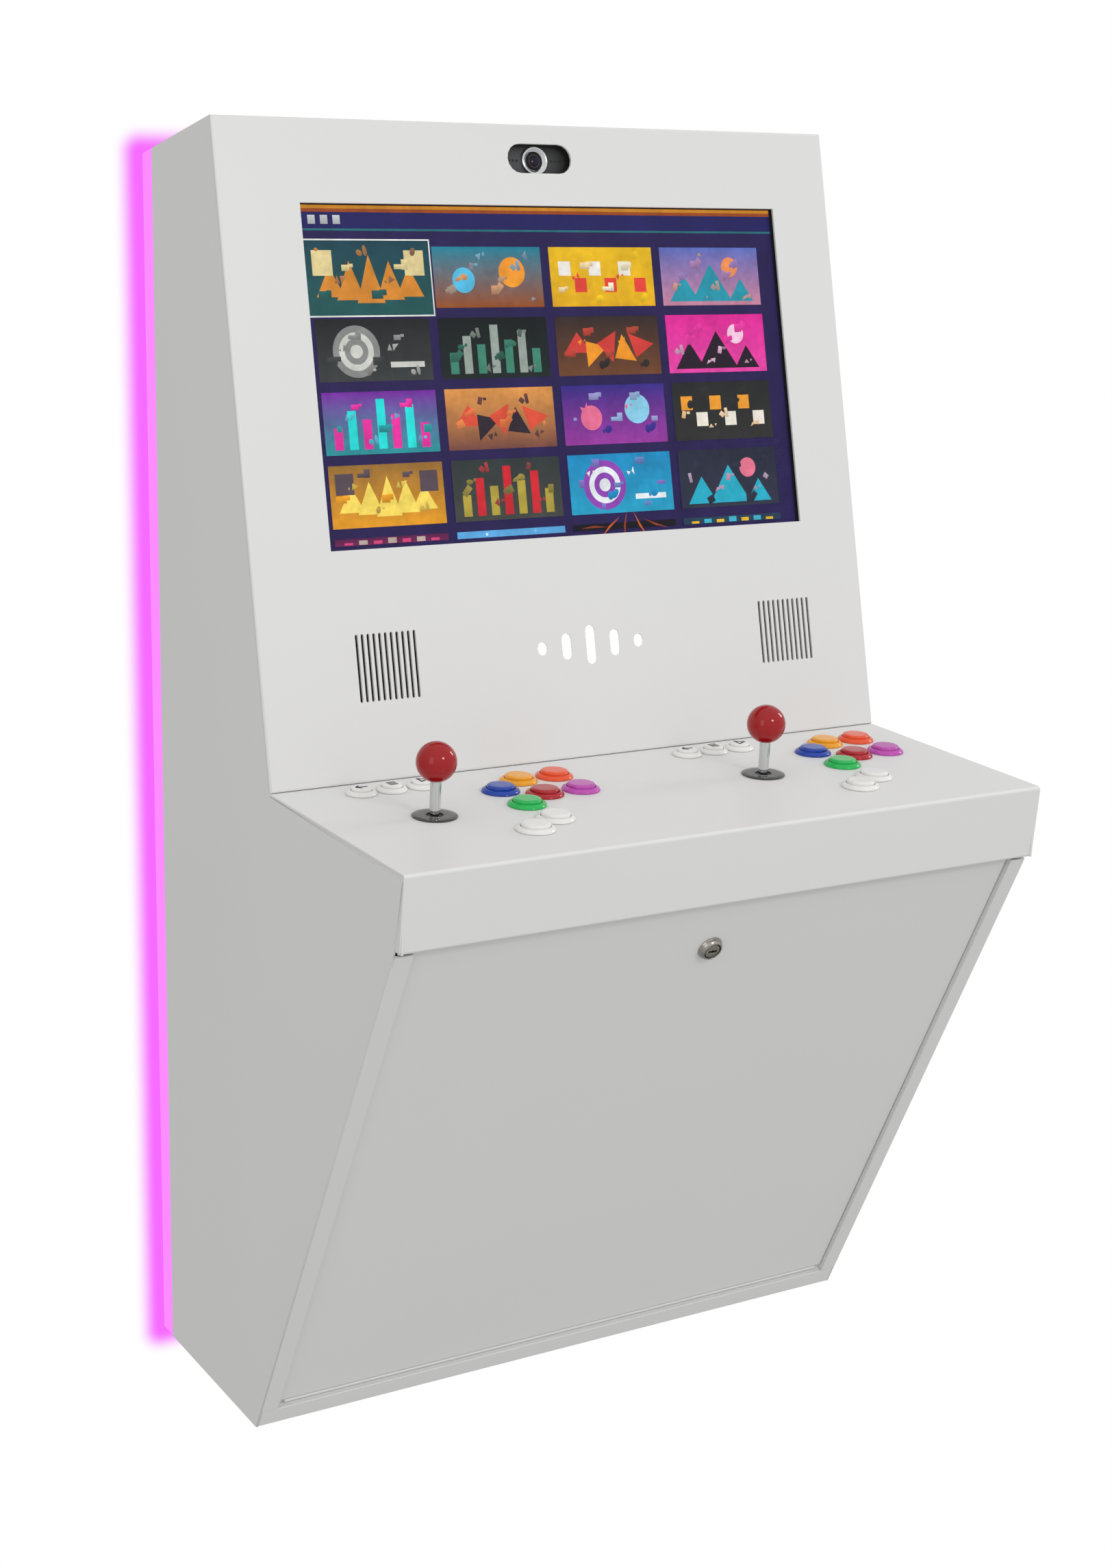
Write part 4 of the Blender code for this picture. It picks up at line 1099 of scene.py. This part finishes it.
class CABINET_OT_joysticks(CabinetStep, bpy.types.Operator):
    """Balls, bright shafts, dust washers and the bases under the deck"""

    bl_idname = "cabinet.joysticks"
    bl_label = "Joysticks"

    def execute(self, context):
        chosen = setting("cabinet_controls")
        red = coated("ball_lacquer", chosen.ball, 0.06, tone=0.05, patch=40.0, grain=300.0, spread=0.03,
                     depth=0.0000008, **{"Specular IOR Level": 0.36, "Coat Weight": 0.12, "Coat Roughness": 0.02})
        speckled = coated("washer_plastic", (0.045, 0.045, 0.047), 0.10, tone=0.9, patch=900.0, grain=1600.0,
                          spread=0.12, depth=0.000006)
        for side in SIDES:
            joint = JOINTS["stick_%s_fore_aft" % side]
            pivot = DECK.inverted() @ Vector(joint["pos_m"])
            place = DECK @ Matrix.Translation((pivot.x, pivot.y, 0))
            body = "stick_" + side
            radius, centre, bore = 0.0175, 0.0473, 0.0046
            first = math.asin(bore / radius)
            curve = [(radius * math.sin(a), centre - radius * math.cos(a))
                     for a in (first + (math.pi - first) * step / 26 for step in range(26))]
            ball = turned([(bore, 0.0414), (bore, curve[0][1] + 0.0003), *curve[1:], (0, centre + radius)], 72)
            smooth(ball, 60)
            settle(ball, "ball_" + side, body, red, place, stands_for=["joystick_ball_" + side])
            shaft = turned(
                [(0.0064, -0.034), (0.0064, -0.0262), (0.0039, -0.0250), (0.0039, 0.0046), (0.0044, 0.0047),
                 (0.0048, 0.0052), (0.0048, 0.0404), (0.0044, 0.0409), (0, 0.0409)], 40)
            smooth(shaft, 28)
            settle(shaft, "shaft_" + side, body, bright_chrome(), place,
                   stands_for=["joystick_shaft_" + side])
            pin = turned([(0.0018, -0.0122), (0.0020, -0.0119), (0.0020, 0.0119), (0.0018, 0.0122), (0, 0.0122)],
                         20)
            across = place @ Matrix.Translation((0, 0, pivot.z)) @ spun(90, "X")
            smooth(pin, 30)
            settle(pin, "cross_pin_" + side, body, zinc_plate(), across)
            washer = turned(
                [(0.0074, 0.0003), (0.0194, 0.0003), (0.0197, 0.0006), (0.0196, 0.0011), (0.0191, 0.0014),
                 (0.0150, 0.0016), (0.0078, 0.0016), (0.0074, 0.0012), (0.0074, 0.0003)], 72, hollow=True)
            smooth(washer, 40)
            disc = "dust_washer_" + side
            settle(washer, "dust_disc_" + side, "cabinet", speckled, place, stands_for=[disc])
            paint_node("joystick_base_" + side, black_plastic())
            paint_node("joystick_gimbal_" + side, zinc_plate())
        return {"FINISHED"}


class CABINET_OT_lock(CabinetStep, bpy.types.Operator):
    """Domed lock ring, plug with its keyway, and the cam behind the door"""

    bl_idname = "cabinet.lock"
    bl_label = "Door lock"

    def execute(self, context):
        joint = JOINTS["lock_turn"]
        centre = DOOR.inverted() @ Vector(joint["pos_m"])
        place = DOOR @ Matrix.Translation((centre.x, centre.y, 0))
        ring = turned(
            [(0.0075, -0.026), (0.0094, -0.026), (0.0094, 0.0002), (0.0116, 0.0002), (0.0118, 0.0005),
             (0.0117, 0.0010), (0.0113, 0.0015), (0.0111, 0.0022), (0.0107, 0.0033), (0.0101, 0.0044),
             (0.0094, 0.0052), (0.0088, 0.0056), (0.0083, 0.0056), (0.0080, 0.0053), (0.0079, 0.0046),
             (0.0075, 0.0030), (0.0075, -0.026)], 72, hollow=True)
        smooth(ring, 30)
        settle(ring, "lock_ring", "door", satin_nickel(), place, stands_for=["lock_barrel"])
        plug = turned(
            [(0.0044, -0.029), (0.0044, -0.0260), (0.0071, -0.0252), (0.0072, 0.0044), (0.0070, 0.0050),
             (0.0066, 0.0052), (0.0030, 0.0052), (0, 0.0052)], 56)
        wings = [moved(block((-0.0046, -0.00060, 0.001), (0.0046, 0.00060, 0.01)),
                       spun(turn, "Z"))
                 for turn in (-8, 8)]
        carve(plug, unite([*wings, turned([(0.0017, 0.001), (0.0017, 0.01)], 24)]))
        soften(plug, 0.00012, 1, 50)
        smooth(plug, 30)
        face = metal("lock_face", (0.30, 0.285, 0.245), 0.34, 160.0, spread=0.10, depth=0.000004)
        settle(plug, "lock_core", "lock", face, place, stands_for=["lock_plug"])
        cam = sheet_copy("lock_cam")
        soften(cam, 0.0006, 2)
        smooth(cam, 40, weighted=True)
        settle(cam, "lock_catch", "lock", zinc_plate(), stands_for=["lock_cam"])
        return {"FINISHED"}


# ---- hidden parts -------------------------------------------------------------------------
class CABINET_OT_inside(CabinetStep, bpy.types.Operator):
    """Computer, power supply, input board and inlet"""

    bl_idname = "cabinet.inside"
    bl_label = "Parts inside"

    def guard(self, name, centre, radius):
        """A wire fan guard: rings on a cross, standing on a box's front."""
        wires = []
        for share in (1.0, 0.76, 0.52, 0.28):
            clear_selection()
            bpy.ops.mesh.primitive_torus_add(major_radius=radius * share, minor_radius=0.0007, major_segments=40,
                                             minor_segments=8)
            wires.append(bpy.context.object)
        for turn in (45, 135):
            arm = block((-radius, -0.0009, -0.0012), (radius, 0.0009, 0.0002), 0.0003, 1)
            wires.append(moved(arm, spun(turn, "Z")))
        for turn in (45, 135, 225, 315):
            ear = turned([(0.0022, -0.0010), (0.0022, 0.0006), (0.0016, 0.0012), (0, 0.0012)], 16)
            spot = (radius * 1.1 * math.cos(math.radians(turn)), radius * 1.1 * math.sin(math.radians(turn)), 0)
            wires.append(moved(ear, Matrix.Translation(spot)))
        face = Matrix.Translation(centre) @ spun(90, "X")
        piece = unite(wires)
        smooth(piece, 40)
        settle(piece, name, "cabinet", zinc_plate(), face)

    def execute(self, context):
        for node, name, radius in (("computer", "computer_fan_guard", 0.045), ("power_supply", "supply_fan_guard", 0.038)):
            low, high = span(node)
            spot = Vector(((low.x + high.x) / 2, low.y - 0.0009, low.z + (high.z - low.z) * 0.62))
            self.guard(name, spot, radius)
        low, high = span("computer")
        ports = []
        for step in range(4):
            left = low.x + 0.022 + step * 0.036
            ports.append(block((left, low.y - 0.0016, low.z + 0.014), (left + 0.020, low.y + 0.001, low.z + 0.024),
                               0.0008))
        settle(unite(ports), "computer_ports", "cabinet", zinc_plate())
        low, high = span("input_board")
        chips = []
        for x, z, wide, tall in ((0.165, -0.545, 0.012, 0.012), (0.232, -0.520, 0.010, 0.016), (0.225, -0.545, 0.022, 0.008)):
            chips.append(block((x, high.y - 0.0100, z), (x + wide, high.y - 0.0078, z + tall), 0.0004, 1))
        settle(unite(chips), "input_board_chips", "cabinet", black_plastic())
        board = coated("circuit_board", (0.012, 0.13, 0.045), 0.32, tone=0.35, patch=260.0, grain=1500.0,
                       depth=0.00003)
        paint_node("input_board", board)
        paint_node("computer", black_plastic())
        paint_node("power_supply", zinc_plate())
        paint_node("power_inlet", black_plastic())
        low, high = span("power_inlet")
        middle_at = (low + high) / 2
        pins = []
        for x, y in ((-0.007, -0.002), (0.007, -0.002), (0, 0.0035)):
            low_corner = (middle_at.x + x - 0.001, middle_at.y + y - 0.002, low.z + 0.006)
            pins.append(block(low_corner, (low_corner[0] + 0.002, low_corner[1] + 0.004, low.z + 0.018), 0.0004, 1))
        settle(unite(pins), "inlet_pins", "cabinet", zinc_plate())
        return {"FINISHED"}


class CABINET_OT_hanging(CabinetStep, bpy.types.Operator):
    """Wall bracket and cleat with their screws, and the door's hinge with its knuckles"""

    bl_idname = "cabinet.hanging"
    bl_label = "Hanging parts and hinge"

    def screw(self):
        """A pan-head screw with a crossed slot."""
        head = turned([(0.0040, 0.0), (0.0042, 0.0006), (0.0038, 0.0016), (0.0026, 0.0023), (0, 0.0025)], 28)
        cross = unite([block((-0.0022, -0.0004, 0.0012), (0.0022, 0.0004, 0.004)),
                       block((-0.0004, -0.0022, 0.0012), (0.0004, 0.0022, 0.004))])
        carve(head, cross)
        smooth(head, 35)
        return head

    def execute(self, context):
        for node, name in (("wall_bracket", "bracket_strip"), ("cabinet_cleat", "cleat_strip")):
            piece = sheet_copy(node)
            round_edges(piece, 0.0005, 2, lambda edge: edge.calc_face_angle(0) > 1.2)
            smooth(piece, 40, weighted=True)
            settle(piece, name, "cabinet", zinc_plate(), stands_for=[node])
        pattern = self.screw()
        screws, under_top = 5, 0.010
        low = span("wall_bracket")[0].z
        wall_side = spun(90, "X")
        heads = []
        for step in range(screws):
            x = -0.16 + 0.08 * step
            heads.append(moved(twin(pattern, "head"), Matrix.Translation((x, -0.0026, low + 0.020)) @ wall_side))
        settle(unite(heads), "bracket_screws", "cabinet", zinc_plate())
        room_side = spun(-90, "X")
        cleat_low, cleat_high = span("cabinet_cleat")
        heads = []
        for step in range(screws):
            x = -0.15 + 0.075 * step
            place = Matrix.Translation((x, cleat_low.y + 0.0026, cleat_high.z - under_top)) @ room_side
            heads.append(moved(twin(pattern, "head"), place))
        settle(unite(heads), "cleat_screws", "cabinet", zinc_plate())
        self.knuckles()
        bpy.data.objects.remove(pattern)
        paint_node("door_hinge", white_paint())
        return {"FINISHED"}

    def knuckles(self):
        """Rolled tubes round the pin, turn about on the cabinet and on the door."""
        joint = JOINTS["door_open"]
        low, high = span("door_hinge")
        length = 0.0200
        count = int((high.x - low.x - 0.004) / length)
        start = -count * length / 2
        tube = turned([(0.0010, 0.0002), (0.0015, 0.0002), (0.0015, length - 0.0002), (0.0010, length - 0.0002),
                       (0.0010, 0.0002)],
                      20, hollow=True)
        smooth(tube, 40)
        along = spun(90, "Y")
        sets = {"cabinet": [], "door": []}
        for step in range(count):
            place = Matrix.Translation((start + step * length, *joint["pos_m"][1:])) @ along
            sets["door" if step % 2 else "cabinet"].append(moved(twin(tube, "tube"), place))
        for body, tubes in sets.items():
            settle(unite(tubes), "hinge_knuckles_" + body, body, white_paint())
        bpy.data.objects.remove(tube)


# ---- stage --------------------------------------------------------------------------------
class CABINET_OT_stage(CabinetStep, bpy.types.Operator):
    """White wall with the coloured halo painted into its glow, pale floor, soft lamps and the camera"""

    bl_idname = "cabinet.stage"
    bl_label = "Stage"

    def backdrop(self, name, centre, size, turn):
        clear_selection()
        bpy.ops.mesh.primitive_plane_add(size=1, location=centre, rotation=turn)
        sheet = bpy.context.object
        sheet.scale = (*size, 1)
        apply_place(sheet)
        sheet.name = name
        return sheet

    def one_sided(self, name):
        """White to the camera on its front, and clear to every other ray and from behind."""
        look = bpy.data.materials.new(name)
        look.use_nodes = True
        tree = look.node_tree
        tree.nodes.remove(tree.nodes["Principled BSDF"])
        glow = add_node(tree, "ShaderNodeEmission", values={"Color": (1, 1, 1, 1), "Strength": 1.0})
        clear = add_node(tree, "ShaderNodeBsdfTransparent")
        choose = add_node(tree, "ShaderNodeMixShader")
        side, path = add_node(tree, "ShaderNodeNewGeometry"), add_node(tree, "ShaderNodeLightPath")
        shown = add_node(tree, "ShaderNodeMath", {"operation": "SUBTRACT", "use_clamp": True})
        wire(path, "Is Camera Ray", shown, 0)
        wire(side, "Backfacing", shown, 1)
        wire(shown, 0, choose, 0)
        wire(clear, 0, choose, 1)
        wire(glow, 0, choose, 2)
        wire(choose, 0, tree.nodes["Material Output"], "Surface")
        return look, tree, glow

    def halo(self, tree, glow):
        """Painted halo: the wall's glow colour, going from the halo colour to white by distance outside the light
        frame's outline, stands in for the frame's light on the wall.
        """
        chosen = setting("cabinet_light")
        low, high = span("light_frame")
        where = add_node(tree, "ShaderNodeTexCoord")
        split = add_node(tree, "ShaderNodeSeparateXYZ")
        wire(where, "Object", split, 0)
        outside = []
        top = high.z - 0.005
        for axis, centre, half in (("X", 0.0, high.x), ("Z", (low.z + top) / 2, (top - low.z) / 2)):
            shift = add_node(tree, "ShaderNodeMath", {"operation": "SUBTRACT"}, {1: centre})
            wire(split, axis, shift, 0)
            size = add_node(tree, "ShaderNodeMath", {"operation": "ABSOLUTE"})
            wire(shift, 0, size, 0)
            past = add_node(tree, "ShaderNodeMath", {"operation": "SUBTRACT"}, {1: half})
            wire(size, 0, past, 0)
            kept = add_node(tree, "ShaderNodeMath", {"operation": "MAXIMUM"}, {1: 0.0})
            wire(past, 0, kept, 0)
            outside.append(kept)
        reach = add_node(tree, "ShaderNodeCombineXYZ")
        wire(outside[0], 0, reach, 0)
        wire(outside[1], 0, reach, 1)
        distance = add_node(tree, "ShaderNodeVectorMath", {"operation": "LENGTH"})
        wire(reach, 0, distance, 0)
        share = add_node(tree, "ShaderNodeMapRange", {"interpolation_type": "SMOOTHERSTEP"},
                         {"From Min": chosen.solid, "From Max": chosen.solid + chosen.fade})
        wire(distance, "Value", share, "Value")
        # painted light: halo colour near the frame, white further out, fed to the wall's glow
        blend = add_node(tree, "ShaderNodeMix", {"data_type": "RGBA"})
        blend.inputs[6].default_value = (*chosen.halo, 1)
        blend.inputs[7].default_value = (1, 1, 1, 1)
        wire(share, 0, blend, 0)
        wire(blend, 2, glow, "Color")

    def lamp(self, name, place, aim, size, power):
        lamp = bpy.data.lights.new(name, "AREA")
        lamp.shape, lamp.size, lamp.size_y, lamp.energy = "RECTANGLE", *size, power
        holder = bpy.data.objects.new(name, lamp)
        bpy.context.scene.collection.objects.link(holder)
        holder.location = place
        holder.rotation_euler = (Vector(aim) - Vector(place)).to_track_quat("-Z", "Y").to_euler()
        holder.visible_camera = False

    def room(self, context):
        """White behind everything, and for lighting a room that is brighter above and ahead."""
        chosen = setting("cabinet_stage")
        world = bpy.data.worlds.new("soft_room")
        context.scene.world = world
        world.use_nodes = True
        tree = world.node_tree
        where = add_node(tree, "ShaderNodeTexCoord")
        towards = add_node(tree, "ShaderNodeVectorMath", {"operation": "DOT_PRODUCT"},
                           {1: (0, -chosen.ahead, chosen.overhead)})
        wire(where, "Generated", towards, 0)
        level = add_node(tree, "ShaderNodeMath", {"operation": "ADD"}, {1: chosen.ambient})
        wire(towards, "Value", level, 0)
        room = tree.nodes["Background"]
        room.inputs["Color"].default_value = (1, 1, 1, 1)
        wire(level, 0, room, "Strength")
        seen = add_node(tree, "ShaderNodeBackground", values={"Color": (1, 1, 1, 1), "Strength": 1.0})
        choose, path = add_node(tree, "ShaderNodeMixShader"), add_node(tree, "ShaderNodeLightPath")
        wire(path, "Is Camera Ray", choose, 0)
        wire(room, 0, choose, 1)
        wire(seen, 0, choose, 2)
        wire(choose, 0, tree.nodes["World Output"], "Surface")

    def camera(self):
        """The viewpoint: in front, to the left, a little above the deck."""
        yaw, pitch, roll = (math.radians(turn) for turn in (30.959, -9.254, 0.383))
        eye = (-1.2028, -2.1788, 0.1713)
        ahead = Vector((math.sin(yaw) * math.cos(pitch), math.cos(yaw) * math.cos(pitch), math.sin(pitch)))
        level = Vector((math.cos(yaw), -math.sin(yaw), 0))
        up = level.cross(ahead)
        right = level * math.cos(roll) + up * math.sin(roll)
        up = up * math.cos(roll) - level * math.sin(roll)
        lens = bpy.data.cameras.new("view")
        lens.lens, lens.sensor_width, lens.sensor_fit = 57.536, 36.0, "AUTO"
        lens.shift_x, lens.shift_y = 0.00803, -0.0894
        holder = bpy.data.objects.new("view", lens)
        bpy.context.scene.collection.objects.link(holder)
        rows = [(right[row], up[row], -ahead[row], eye[row]) for row in range(3)]
        holder.matrix_world = Matrix((*rows, (0, 0, 0, 1)))
        bpy.context.scene.camera = holder

    def execute(self, context):
        chosen = setting("cabinet_stage")
        look, tree, glow = self.one_sided("lit_wall")
        # the halo is painted light: its colour goes into the wall's glow and is not cast by the light frame
        self.halo(tree, glow)
        foot = CAD_BOX[0].z - chosen.floor_drop
        wall = self.backdrop("wall", (0, 0.0012, foot + 3.0), (8, 6), (math.radians(90), 0, 0))
        wall.data.materials.append(look)
        floor = self.backdrop("floor", (0, -3.9, foot), (8, 8), (0, 0, 0))
        floor.data.materials.append(self.one_sided("lit_floor")[0])
        deck_front = (0, -0.35, -0.3)
        self.lamp("key", (0.45, -3.1, 1.15), deck_front, (0.50, 0.50), chosen.key)
        self.lamp("edge", (2.8, -0.40, 0.95), deck_front, (0.40, 0.80), chosen.edge)
        self.lamp("fill", (-2.6, -1.9, 0.6), (0, -0.25, -0.3), (1.2, 1.8), chosen.fill)
        self.room(context)
        context.scene.view_settings.view_transform = "Standard"
        self.camera()
        return {"FINISHED"}


STEPS = (
    CABINET_OT_stage, CABINET_OT_bezel, CABINET_OT_case, CABINET_OT_deck, CABINET_OT_door, CABINET_OT_display,
    CABINET_OT_camera_module, CABINET_OT_lights, CABINET_OT_speakers, CABINET_OT_buttons, CABINET_OT_joysticks,
    CABINET_OT_lock, CABINET_OT_inside, CABINET_OT_hanging,
)


class CABINET_PT_steps(bpy.types.Panel):
    """Every step of the build and the settings it reads"""

    bl_idname = "CABINET_PT_steps"
    bl_label = "Wall arcade cabinet"
    bl_space_type = "VIEW_3D"
    bl_region_type = "UI"
    bl_category = "Cabinet"

    def draw(self, context):
        layout = self.layout
        for step in STEPS:
            layout.operator(step.bl_idname)
        for name, group in GROUPS.items():
            box = layout.box()
            box.label(text=group.__doc__)
            for key in group.__annotations__:
                box.prop(getattr(context.scene, name), key)


def register():
    for group in GROUPS.values():
        bpy.utils.register_class(group)
    for name, group in GROUPS.items():
        setattr(bpy.types.Scene, name, bpy.props.PointerProperty(type=group))
    for step in (*STEPS, CABINET_PT_steps):
        bpy.utils.register_class(step)


def unregister():
    for step in (CABINET_PT_steps, *reversed(STEPS)):
        bpy.utils.unregister_class(step)
    for name in GROUPS:
        delattr(bpy.types.Scene, name)
    for group in reversed(GROUPS.values()):
        bpy.utils.unregister_class(group)


def main():
    register()
    for step in STEPS:
        getattr(bpy.ops.cabinet, step.bl_idname.split(".")[1])()
    clear_selection()


if __name__ == "__main__":
    main()
